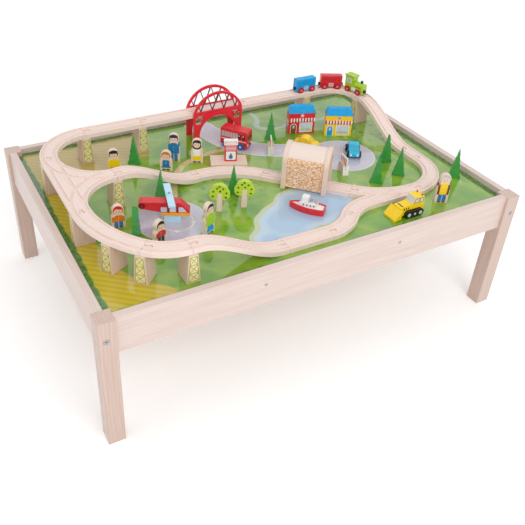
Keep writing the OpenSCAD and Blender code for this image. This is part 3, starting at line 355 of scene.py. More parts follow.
@dataclass(frozen=True)
class StonePrint(Finish):
    """Paper print on bent plywood; the eye sees long low stones, cream and
    sandy, with tan joints up the sides, and bare wood above."""

    pale: str = "FFE3C4"
    sandy: str = "F6CBA2"
    bright: str = "FFEBD3"
    joint: str = "C98A57"
    wood: str = "EFDDD2"
    top: float = BOARD_TOP + 82
    stone: float = 10.5
    flat: float = 1.9

    def wire(self, tree: Tree, shader: Node) -> None:
        """Long low stones with joints, up to a level line."""
        spot = place_of(tree)
        bent = add(tree, "ShaderNodeTexNoise", {"Vector": spot, "Scale": 70.0, "Detail": 2.0})
        moved = add(tree, "ShaderNodeVectorMath", {
            0: bent.outputs[1], 1: (0.004, 0.004, 0.004), 2: spot,
        }, operation="MULTIPLY_ADD").outputs[0]
        laid = scaled(tree, moved, (1.0, 1.0, self.flat))
        per_metre = 1.0 / (self.stone * MM)
        edge = add(tree, "ShaderNodeTexVoronoi", {
            "Vector": laid, "Scale": per_metre,
        }, feature="DISTANCE_TO_EDGE").outputs[0]
        cell = add(tree, "ShaderNodeTexVoronoi", {"Vector": laid, "Scale": per_metre}).outputs["Color"]
        tint = add(tree, "ShaderNodeSeparateColor", {0: cell}).outputs[0]
        stone = ramp(tree, tint, ((0.0, self.pale), (0.75, self.sandy), (1.0, self.bright)))
        colour = blend(tree, spread(tree, edge, 0.02, 0.13, 0.9, 0.0), stone, linear(self.joint))
        up = add(tree, "ShaderNodeSeparateXYZ", {0: spot}).outputs[2]
        mask = spread(tree, up, (self.top - 0.6) * MM, (self.top + 0.6) * MM, 0.0, 1.0)
        plug(tree, shader, {
            "Base Color": blend(tree, mask, colour, linear(self.wood)),
            "Roughness": spread(tree, bent.outputs[0], 0.2, 0.8, 0.34, 0.48),
        })


@dataclass(frozen=True)
class Landscape(Finish):
    """Paper print under a glossy laminate; the eye sees flat painted fields,
    roads and water with crisp edges, and clear reflections of what stands on it."""

    def wire(self, tree: Tree, shader: Node) -> None:
        """Layers each printed area by its distance attribute, in millimetres."""
        spot = place_of(tree)

        def distance(name: str) -> Socket:
            return add(tree, "ShaderNodeAttribute", attribute_name=name).outputs["Fac"]

        def cloud(per_metre: float, detail: float = 3.0) -> Socket:
            return noise(tree, spot, per_metre, detail)

        def inside(name: str, at: float = 0.0, soft: float = 0.7) -> Socket:
            return spread(tree, distance(name), at - soft, at + soft, 1.0, 0.0)

        def both(one, two) -> Socket:
            return maths(tree, "MULTIPLY", one, two)

        def dots(per_metre: float, size: float, share: float) -> Socket:
            cells = add(tree, "ShaderNodeTexVoronoi", {
                "Vector": spot, "Scale": per_metre, "Randomness": 0.8,
            }, voronoi_dimensions="2D")
            picked = add(tree, "ShaderNodeSeparateColor", {0: cells.outputs["Color"]}).outputs[0]
            round_spot = spread(tree, cells.outputs["Distance"], size - 0.03, size + 0.03, 1.0, 0.0)
            return both(round_spot, spread(tree, picked, share - 0.01, share + 0.01, 1.0, 0.0))

        def lay(mask: Socket, over) -> None:
            nonlocal colour
            colour = blend(tree, mask, colour, linear(over) if isinstance(over, str) else over)

        # Meadow: olive greens in soft patches, brushed leaves and a few flowers.
        colour = ramp(tree, cloud(11.0), (
            (0.30, "5E9424"), (0.44, "72A42B"), (0.56, "90B238"), (0.70, "689D2C"),
        ))
        leafy = spread(tree, cloud(48.0, 6.0), 0.54, 0.60, 0.0, 0.75)
        lay(both(leafy, inside("grove", 0.0, 30.0)), "4C7C34")
        bladed = spread(tree, cloud(75.0, 2.0), 0.60, 0.66, 0.0, 0.6)
        lay(both(bladed, inside("grove", -10.0, 30.0)), "A3BB78")
        lay(dots(40.0, 0.12, 0.03), "C6D69A")
        # Ploughed fields with furrows.
        wave = maths(tree, "SINE", maths(tree, "MULTIPLY", distance("furrow"), 0.42))
        stripes = spread(tree, wave, -0.2, 0.75, 0.0, 1.0)
        lay(inside("field", 0.0, 3.0), blend(tree, stripes, linear("CDB935"), linear("C0AB2C")))
        lay(inside("stubble", 0.0, 3.0), blend(tree, stripes, linear("BEA95F"), linear("B6A156")))
        # Footpath with pebbles.
        lay(inside("path"), blend(tree, dots(140.0, 0.3, 0.5), linear("D9C99A"), linear("C3AE79")))
        # Brook and pond: pale shore, shallows, deeper water and lily pads.
        lay(inside("brook", 3.0), "8DA962")
        lay(inside("brook"), "A9C0B4")
        lay(inside("pond", 9.0, 1.5), "C4CBA4")
        lay(inside("pond"), "BDD3E2")
        lay(inside("pond", -16.0, 9.0), "A9C6E0")
        lay(both(dots(44.0, 0.3, 0.3), inside("lilies", 0.0, 1.0)), "6FAE5A")
        # Landing place: grey slab, white ring and ticks.
        lay(inside("pad", 4.0), "CFCCD2")
        lay(inside("pad"), ramp(tree, cloud(220.0), ((0.35, "CDCADA"), (0.7, "C2BFCF"))))
        lay(inside("pad_ring"), "E9E8EE")
        # Road: kerb, asphalt and dashes.
        lay(inside("road", 4.0), "DAD7DC")
        lay(inside("road"), ramp(tree, cloud(260.0), ((0.35, "CFCAD8"), (0.7, "C4BFCE"))))
        lay(inside("dashes"), "E6E3EA")
        # Hedge round the edge: leafy and scalloped, with a paler rim.
        leaves = ramp(tree, cloud(120.0, 5.0), ((0.36, "3C6A2E"), (0.52, "4F7C37"), (0.68, "6C9644")))
        lay(inside("hedge", 3.0, 2.0), "6C9A3C")
        lay(inside("hedge", 0.0, 2.0), leaves)
        plug(tree, shader, {
            "Base Color": colour,
            "Roughness": spread(tree, cloud(18.0), 0.2, 0.8, 0.10, 0.15),
            "Coat Weight": 0.7, "Coat Roughness": 0.03,
        })


PINE = Wood("lacquered pine, planed", "E6D4CC", "D9C2B7", 4.2, 130.0, 0.4, 0.25)
# Darker copy of the planed pine for the legs: painted shade, not another wood.
SHADED_LEG_PINE = Wood("lacquered pine, legs", "DAC2B6", "C9AC9D", 4.2, 130.0, 0.4, 0.25)
# Darker, tanner copy of the planed pine for the supports and barrier blocks: painted shade.
SHADED_BLOCK_PINE = Wood("lacquered pine, blocks", "E4CBBE", "D2B3A3", 4.2, 130.0, 0.4, 0.25)
BEECH = Wood("sanded beech track", "F7E3DA", "ECD4C8", 2.4, 46.0, 0.46, 0.1)
PLY = Wood("sanded beech ply, toy edges", "F1DCCE", "E3C6B0", 1.8, 30.0, 0.5, 0.08)
RAW_BOARD = Wood("raw fibreboard edge", "C9A883", "B48F68", 0.9, 3.0, 0.62, 0.0)
RED = Paint("red enamel on beech", "E3262F", "CC1C28")
BRIDGE_RED = BridgePaint("red enamel with dark lattice", "F2263C", "DE1D32")
BLUE = Paint("blue enamel on beech", "04A8EA", "0296D8", 0.46, 0.1)
CYAN = Paint("cyan enamel on beech", "33C0E4", "22A8D0")
SKY = Paint("pale-blue enamel on beech", "C6E9FA", "B4DFF5")
LIME = Paint("lime enamel on beech", "AFD62C", "98C422")
YELLOW = Paint("yellow enamel on beech", "FFD90F", "F9CA0A")
ORANGE = Paint("orange enamel on beech", "F58222", "E06E13")
AMBER = Paint("amber enamel on beech", "FFB02A", "F49C16")
GREEN = Paint("pine-green enamel on ply", "42A24A", "338C3E")
LEAF = Paint("leaf-green enamel on ply", "C2DC3C", "B0CE2E")
OLIVE = Paint("olive screen print", "4E6420", "3E511A")
WHITE = Paint("white enamel on beech", "F8F7F5", "EEECE9")
GREY = Paint("grey screen print", "B9BBC2", "A4A7AF")
GLASS = Paint("pale window print", "D3DCE8", "C2CEDC", 0.2, 0.6)
SMOKE = Paint("smoke-grey window print", "C6BCC4", "AFA5AE", 0.2, 0.6)
DUSK = Paint("dark window print", "5B2630", "451B24", 0.2, 0.6)
NAVY = Paint("navy screen print", "24365F", "1A294B")
TEAL = Paint("teal-blue screen print", "1F7DB4", "186A9C")
DENIM = Paint("denim-blue screen print", "2F7FC4", "2469A8")
BROWN = Paint("brown screen print", "8A4F27", "74401D")
SILVER = Paint("silver-grey hair print", "C9C6C4", "ACA9A7")
SKIN = Paint("skin-tone screen print", "F4D6C2", "EAC5AC")
PINK = Paint("rosy screen print", "E99A86", "DD8570")
GINGER = Paint("ginger hair print", "D9823C", "C46E2B")
INK = Paint("black screen print", "2A2624", "1D1A19", 0.45, 0.05)
MAROON = Paint("maroon screen print", "8C2B33", "741F28")
LATTICE_BASE = Paint("pale support print", "EFE4AE", "E6D99A", 0.5, 0.05)
LATTICE_BAR = Paint("olive lattice print", "A8A552", "98953F", 0.5, 0.05)
BLACK = Plastic("black moulded plastic", "1D1D20", 0.32)
RED_WHEEL = Plastic("red moulded wheel", "C81E30", 0.26)
BLUE_WHEEL = Plastic("blue moulded wheel", "2169B4", 0.28)
HUB = Plastic("pale grey moulded hub", "D9D9DB", 0.3)
ROSY_HUB = Plastic("rose moulded hub", "E58A92", 0.3)
STEEL = Steel("zinc-plated steel")
STONES = StonePrint("printed stone on bent ply")
PRINT = Landscape("landscape print under laminate")


# Shapes


def rounded(u0: float, v0: float, u1: float, v1: float, radius: float = 0.0, steps: int = 5) -> Outline:
    """A rectangle with round corners, counter-clockwise."""
    r = min(radius, (u1 - u0) / 2, (v1 - v0) / 2)
    if r <= 0:
        return [(u0, v0), (u1, v0), (u1, v1), (u0, v1)]
    corners = ((u1 - r, v0 + r, -90), (u1 - r, v1 - r, 0), (u0 + r, v1 - r, 90), (u0 + r, v0 + r, 180))
    points = []
    for cu, cv, start in corners:
        turns = [math.radians(start + 90 * i / steps) for i in range(steps + 1)]
        points += [(cu + r * math.cos(a), cv + r * math.sin(a)) for a in turns]
    return points


def disc(cu: float, cv: float, radius: float, steps: int = 28) -> Outline:
    """A circle, counter-clockwise."""
    turns = (2 * math.pi * i / steps for i in range(steps))
    return [(cu + radius * math.cos(a), cv + radius * math.sin(a)) for a in turns]


def arch(u0: float, v0: float, u1: float, v1: float, steps: int = 12) -> Outline:
    """A door with a round head, counter-clockwise."""
    r = (u1 - u0) / 2
    turns = (math.pi * i / steps for i in range(steps + 1))
    head = [((u0 + u1) / 2 + r * math.cos(a), v1 - r + r * math.sin(a)) for a in turns]
    return [(u0, v0), (u1, v0)] + head


def smile(cu: float, cv: float, radius: float, width: float, steps: int = 8) -> Outline:
    """A curved stroke over a third of a circle, open side up."""
    half = math.radians(60)
    turns = [-math.pi / 2 - half + 2 * half * i / steps for i in range(steps + 1)]
    within = radius - width
    outer = [(cu + radius * math.cos(a), cv + radius * math.sin(a)) for a in turns]
    inner = [(cu + within * math.cos(a), cv + within * math.sin(a)) for a in reversed(turns)]
    return outer + inner


def facing(points: Outline, ahead: int) -> Outline:
    """An outline as it is, or mirrored for the far side of a piece."""
    return points if ahead > 0 else [(-u, v) for u, v in reversed(points)]


class Face(Enum):
    """A side of a piece; its matrix takes (across, up, outwards) to local axes."""

    FRONT = ((1, 0, 0), (0, 0, -1), (0, 1, 0))
    BACK = ((-1, 0, 0), (0, 0, 1), (0, 1, 0))
    RIGHT = ((0, 0, 1), (1, 0, 0), (0, 1, 0))
    LEFT = ((0, 0, -1), (-1, 0, 0), (0, 1, 0))
    TOP = ((1, 0, 0), (0, 1, 0), (0, 0, 1))

    def matrix(self) -> Matrix:
        """The rotation of this side."""
        return Matrix(self.value).to_4x4()


# The long sides of a piece, with which way its front lies on each.
SIDES = ((Face.FRONT, 1), (Face.BACK, -1))


@dataclass(frozen=True)
class Pose:
    """A place in the frame, in millimetres, and a turn about Z in degrees."""

    x: float = 0.0
    y: float = 0.0
    turn: float = 0.0
    z: float = BOARD_TOP

    def matrix(self) -> Matrix:
        """Takes local millimetres to the frame's metres."""
        place = Matrix.Translation(Vector((self.x, self.y, self.z)) * MM)
        return place @ Matrix.Rotation(math.radians(self.turn), 4, "Z") @ Matrix.Scale(MM, 4)

    def local(self, point: Vector) -> Vector:
        """A point of the frame, in metres, as local millimetres."""
        return self.matrix().inverted() @ point

    def ahead(self, way: Vector) -> float:
        """How far a direction of the frame points along local X."""
        return (Matrix.Rotation(math.radians(-self.turn), 3, "Z") @ way).x


def nearest(poses: Iterable[Pose], point: Vector) -> Vector:
    """A point of the frame, in metres, as local millimetres of the nearest pose."""
    return min((pose.local(point) for pose in poses), key=lambda spot: spot.xy.length)


def cooked(obj: bpy.types.Object) -> bpy.types.Mesh:
    """The plain mesh of an object with its modifiers applied."""
    bpy.context.view_layer.update()
    graph = bpy.context.evaluated_depsgraph_get()
    done = obj.evaluated_get(graph)
    return bpy.data.meshes.new_from_object(done, preserve_all_data_layers=True, depsgraph=graph)


class Form(Enum):
    """A small form that is copied, by the name of its node tree."""

    BAR = "bars on points"
    DOT = "dots on points"


@dataclass
class Repeats:
    """Copies of one small form on points, each with its own turn and size.

    The copies come from a geometry node tree with named inputs.
    """

    name: str
    form: Form
    finish: Finish
    wobble: float = 0.0
    seed: int = 0

    def tree(self) -> Tree:
        """The node tree: a bar or a dot on every point, realized and painted."""
        found = bpy.data.node_groups.get(self.form.value)
        if found:
            return found
        tree = bpy.data.node_groups.new(self.form.value, "GeometryNodeTree")
        face = tree.interface
        face.new_socket("Points", in_out="INPUT", socket_type="NodeSocketGeometry")
        face.new_socket("Wobble", in_out="INPUT", socket_type="NodeSocketFloat")
        face.new_socket("Seed", in_out="INPUT", socket_type="NodeSocketInt")
        face.new_socket("Finish", in_out="INPUT", socket_type="NodeSocketMaterial")
        face.new_socket("Copies", in_out="OUTPUT", socket_type="NodeSocketGeometry")
        given = add(tree, "NodeGroupInput").outputs
        if self.form is Form.DOT:
            round_size = {"Vertices": 20, "Radius": 0.5, "Depth": 1.0}
            form = add(tree, "GeometryNodeMeshCylinder", round_size).outputs[0]
        else:
            form = add(tree, "GeometryNodeMeshCube", {"Size": (1.0, 1.0, 1.0)}).outputs[0]
        kept = "GeometryNodeInputNamedAttribute"
        turn = add(tree, kept, {"Name": "turn"}, data_type="FLOAT_VECTOR").outputs[0]
        span = add(tree, kept, {"Name": "span"}, data_type="FLOAT_VECTOR").outputs[0]
        less = maths(tree, "SUBTRACT", 1.0, given["Wobble"])
        # Sockets 2 and 3 are the least and the most of a plain number.
        limits = {2: less, 3: 1.0, "Seed": given["Seed"]}
        vary = add(tree, "FunctionNodeRandomValue", limits, data_type="FLOAT")
        size = add(tree, "ShaderNodeVectorMath", {0: span, 3: vary.outputs[1]}, operation="SCALE").outputs[0]
        spun = add(tree, "FunctionNodeEulerToRotation", {0: turn}).outputs[0]
        placed = add(tree, "GeometryNodeInstanceOnPoints", {
            "Points": given["Points"], "Instance": form, "Rotation": spun, "Scale": size,
        }).outputs[0]
        solid = add(tree, "GeometryNodeRealizeInstances", {0: placed}).outputs[0]
        coated = {"Geometry": solid, "Material": given["Finish"]}
        add(tree, "NodeGroupOutput", {0: add(tree, "GeometryNodeSetMaterial", coated).outputs[0]})
        return tree

    def mesh(self, spots: Iterable[Spot]) -> bpy.types.Mesh:
        """Makes the copies.

        Args:
            spots: Where each copy sits, in the frame's metres, and its size in
                millimetres along its own axes.

        Returns:
            A plain mesh of all the copies.
        """
        rows = list(spots)
        base = bpy.data.meshes.new(self.name)
        base.from_pydata([tuple(m.translation) for m, _ in rows], [], [])
        turn = base.attributes.new("turn", "FLOAT_VECTOR", "POINT")
        span = base.attributes.new("span", "FLOAT_VECTOR", "POINT")
        turn.data.foreach_set("vector", [a for m, _ in rows for a in m.decompose()[1].to_euler("XYZ")])
        span.data.foreach_set("vector", [a * MM for _, s in rows for a in s])
        carrier = stand(self.name, base)
        tree = self.tree()
        modifier = carrier.modifiers.new("copies", "NODES")
        modifier.node_group = tree
        names = {s.name: s.identifier for s in tree.interface.items_tree if s.in_out == "INPUT"}
        modifier[names["Wobble"]] = self.wobble
        modifier[names["Seed"]] = self.seed
        modifier[names["Finish"]] = self.finish.material()
        done = cooked(carrier)
        carrier.modifiers.clear()
        bpy.data.objects.remove(carrier)
        return done


def islands(bm: bmesh.types.BMesh) -> list[list[bmesh.types.BMVert]]:
    """The connected groups of vertices of a mesh."""
    groups, seen = [], set()
    for start in bm.verts:
        if start.index in seen:
            continue
        group, stack = [], [start]
        seen.add(start.index)
        while stack:
            vert = stack.pop()
            group.append(vert)
            for edge in vert.link_edges:
                other = edge.other_vert(vert)
                if other.index not in seen:
                    seen.add(other.index)
                    stack.append(other)
        groups.append(group)
    return groups


def corner_angle(edge: bmesh.types.BMEdge) -> float:
    """The angle between the two faces of an edge, or zero where it has not two."""
    return edge.calc_face_angle(0.0) if len(edge.link_faces) == 2 else 0.0


def bevel(part: bmesh.types.BMesh, edges: list, radius: float, steps: int) -> None:
    """Rounds edges of a mesh, in its own unit."""
    bmesh.ops.bevel(
        part, geom=edges, offset=radius, segments=steps, profile=0.5, affect="EDGES", clamp_overlap=True,
    )


class Shell:
    """Gathers the forms of one piece as a single mesh with several finishes."""

    def __init__(self, name: str, pose: Pose = Pose(z=0.0)) -> None:
        """Starts an empty piece.

        Args:
            name: The name of the piece.
            pose: Where local millimetres lie in the frame.
        """
        self.name = name.replace(" ", "-")
        self.pose = pose
        self.bm = bmesh.new()
        self.finishes: list[Finish] = []

    def at(self, pose: Pose) -> None:
        """Moves the local axes for the forms that follow."""
        self.pose = pose

    def index(self, finish: Finish) -> int:
        """The material slot of a finish."""
        if finish not in self.finishes:
            self.finishes.append(finish)
        return self.finishes.index(finish)

    def take(self, part: bmesh.types.BMesh, finish: Optional[Finish] = None) -> None:
        """Adds the faces of a mesh, all in one finish if one is given."""
        if finish:
            number = self.index(finish)
            for face in part.faces:
                face.material_index = number
        mesh = bpy.data.meshes.new("part")
        part.to_mesh(mesh)
        part.free()
        self.bm.from_mesh(mesh)
        bpy.data.meshes.remove(mesh)

    def prism(
        self, outline: Outline, low: float, high: float, finish: Finish, face: Face, ease: float = 0.0,
    ) -> None:
        """Adds a flat form with straight sides.

        Args:
            outline: Its outline, across and up.
            low: Where it starts, outwards.
            high: Where it ends, outwards.
            finish: Its finish.
            face: The side it lies on.
            ease: Radius of its outer rim.
        """
        part = bmesh.new()
        base = part.faces.new([part.verts.new((u, v, low)) for u, v in outline])
        grown = bmesh.ops.extrude_face_region(part, geom=[base])["geom"]
        rim = [v for v in grown if isinstance(v, bmesh.types.BMVert)]
        bmesh.ops.translate(part, verts=rim, vec=(0, 0, high - low))
        bmesh.ops.recalc_face_normals(part, faces=part.faces)
        if ease:
            top = set(rim)
            bevel(part, [e for e in part.edges if top.issuperset(e.verts)], ease, 2)
        part.transform(self.pose.matrix() @ face.matrix())
        self.take(part, finish)

    def decal(self, outline: Outline, out: float, finish: Finish, face: Face, thick: float) -> None:
        """Adds a printed or inlaid patch that stands just proud of a face."""
        self.prism(outline, out - PRINT_ROOT, out + thick, finish, face)

    def decals(self, face: Face, out: float, prints: Prints, ahead: int = 1) -> None:
        """Adds patches to one face.

        Args:
            face: The side they lie on.
            out: How far out that side is.
            prints: Outline, finish and thickness of each, in order.
            ahead: One, or minus one to mirror the outlines.
        """
        for outline, finish, thick in prints:
            self.decal(facing(outline, ahead), out, finish, face, thick)

    def lathe(self, profile: Sequence[Point], finish: Finish, place: Matrix, steps: int = 40) -> None:
        """Adds a turned form about local Z.

        Args:
            profile: Radius and height of each step, from one end to the other.
            finish: Its finish.
            place: Local axes in the frame.
            steps: Facets round it.
        """
        part = bmesh.new()
        rings = []
        for radius, height in profile:
            if radius <= 1e-6:
                rings.append([part.verts.new((0, 0, height))])
            else:
                rings.append([part.verts.new((u, v, height)) for u, v in disc(0, 0, radius, steps)])
        for one, two in zip(rings, rings[1:]):
            for i in range(steps):
                a, b = one[i % len(one)], one[(i + 1) % len(one)]
                c, d = two[(i + 1) % len(two)], two[i % len(two)]
                corners = list(dict.fromkeys((a, b, c, d)))
                if len(corners) > 2:
                    part.faces.new(corners)
        bmesh.ops.remove_doubles(part, verts=part.verts, dist=1e-5)
        bmesh.ops.recalc_face_normals(part, faces=part.faces)
        part.transform(place)
        self.take(part, finish)

    def repeat(self, repeats: Repeats, spots: Iterable[Spot]) -> None:
        """Adds copies made by a geometry node tree."""
        mesh = repeats.mesh(spots)
        part = bmesh.new()
        part.from_mesh(mesh)
        bpy.data.meshes.remove(mesh)
        self.take(part, repeats.finish)

    def soften(self, node: str, radius: float, rule: Rule, steps: int) -> None:
        """Adds a copy of a CAD node with its sharp edges eased.

        Args:
            node: The CAD node.
            radius: Radius of the eased edges.
            rule: Finish of a face from its middle, in metres, and its normal.
            steps: Facets across an eased edge.
        """
        part = bmesh.new()
        part.from_mesh(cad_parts[node].data)
        bmesh.ops.remove_doubles(part, verts=part.verts, dist=WELD)
        bmesh.ops.dissolve_degenerate(part, edges=part.edges, dist=SLIVER)
        bmesh.ops.dissolve_limit(part, angle_limit=FLAT_ANGLE, verts=part.verts, edges=part.edges)
        bevel(part, [e for e in part.edges if corner_angle(e) > EASED_ANGLE], radius * MM, steps)
        for face in part.faces:
            face.normal_update()
            face.material_index = self.index(rule(face.calc_center_median(), face.normal))
        self.take(part)

    def finish(self, body: str, nodes: Sequence[str], slot: str, grain: Optional[Vector] = None) -> None:
        """Turns the gathered forms into the finished piece.

        Args:
            body: The CAD body it moves with.
            nodes: CAD nodes it stands for.
            slot: The record's material slot; not used.
            grain: Direction of the grain; otherwise each form's longest way.
        """
        bm = self.bm
        bm.verts.index_update()
        layer = bm.verts.layers.float_vector.new("grain")
        draw = random.Random(self.name)
        for group in islands(bm):
            points = np.array([v.co for v in group])
            middle = points.mean(axis=0)
            if grain is None and len(group) > 3:
                along = Vector(np.linalg.svd(points - middle, full_matrices=False)[2][0])
            else:
                along = grain or Vector((1, 0, 0))
            across = along.cross(Vector((0, 0, 1)))
            across = (across if across.length > 0.1 else Vector((1, 0, 0))).normalized()
            third = along.cross(across)
            shift = Vector((draw.uniform(0, 900), draw.uniform(0, 90), draw.uniform(0, 90)))
            for vert in group:
                way = (vert.co - Vector(middle)) / MM
                vert[layer] = Vector((way.dot(along), way.dot(across), way.dot(third))) + shift
        for face in bm.faces:
            face.smooth = True
        for edge in bm.edges:
            edge.smooth = len(edge.link_faces) == 2 and corner_angle(edge) < SMOOTH_ANGLE
        mesh = bpy.data.meshes.new(self.name)
        bm.to_mesh(mesh)
        bm.free()
        for finish in self.finishes:
            mesh.materials.append(finish.material())
        piece = stand(self.name, mesh)
        modifier = piece.modifiers.new("normals", "WEIGHTED_NORMAL")
        modifier.keep_sharp = True
        piece.data = cooked(piece)
        piece.modifiers.clear()
        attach(piece, body)
        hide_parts(*nodes)
        LOG.info("%s: %d faces on %s", self.name, len(piece.data.polygons), body)


def always(finish: Finish) -> Rule:
    """A rule that gives every face the same finish."""
    return lambda middle, normal: finish


def carved(
    node: str, ease: float, rule: Rule, pose: Pose = Pose(z=0.0), steps: int = 3, name: str = "",
) -> Shell:
    """Starts a piece from a CAD node.

    Args:
        node: The CAD node.
        ease: Radius of its eased edges.
        rule: Finish of a face from its middle, in metres, and its normal.
        pose: Where local millimetres lie in the frame.
        steps: Facets across an eased edge.
        name: Its name, if not the node's.

    Returns:
        The piece, ready for more forms.
    """
    shell = Shell(name or node.replace("_", " "), pose)
    shell.soften(node, ease, rule, steps)
    return shell


def plain(
    node: str, ease: float, finish: Finish, slot: str, steps: int = 3, grain: Optional[Vector] = None,
) -> None:
    """Makes a piece of the table that is one CAD node in one finish.

    Args:
        node: The CAD node.
        ease: Radius of its eased edges.
        finish: Its finish.
        slot: The record's material slot.
        steps: Facets across an eased edge.
        grain: Direction of the grain; otherwise each form's longest way.
    """
    carved(node, ease, always(finish), steps=steps).finish("table", [node], slot, grain)


def spot_on(pose: Pose, face: Face, u: float, v: float, out: float, turn: float = 0.0) -> Matrix:
    """Where a small copy sits on a side of a piece, in the frame's metres."""
    on_face = pose.matrix() @ face.matrix() @ Matrix.Translation((u, v, out))
    return on_face @ Matrix.Rotation(math.radians(turn), 4, "Z")


def stroke(pose: Pose, face: Face, start: Point, end: Point, width: float, out: float) -> Spot:
    """A printed line on a side of a piece, as a spot for a bar."""
    du, dv = end[0] - start[0], end[1] - start[1]
    turn = math.degrees(math.atan2(dv, du))
    place = spot_on(pose, face, start[0] + du / 2, start[1] + dv / 2, out, turn)
    return place, (math.hypot(du, dv), width, 0.5)


# Printed board


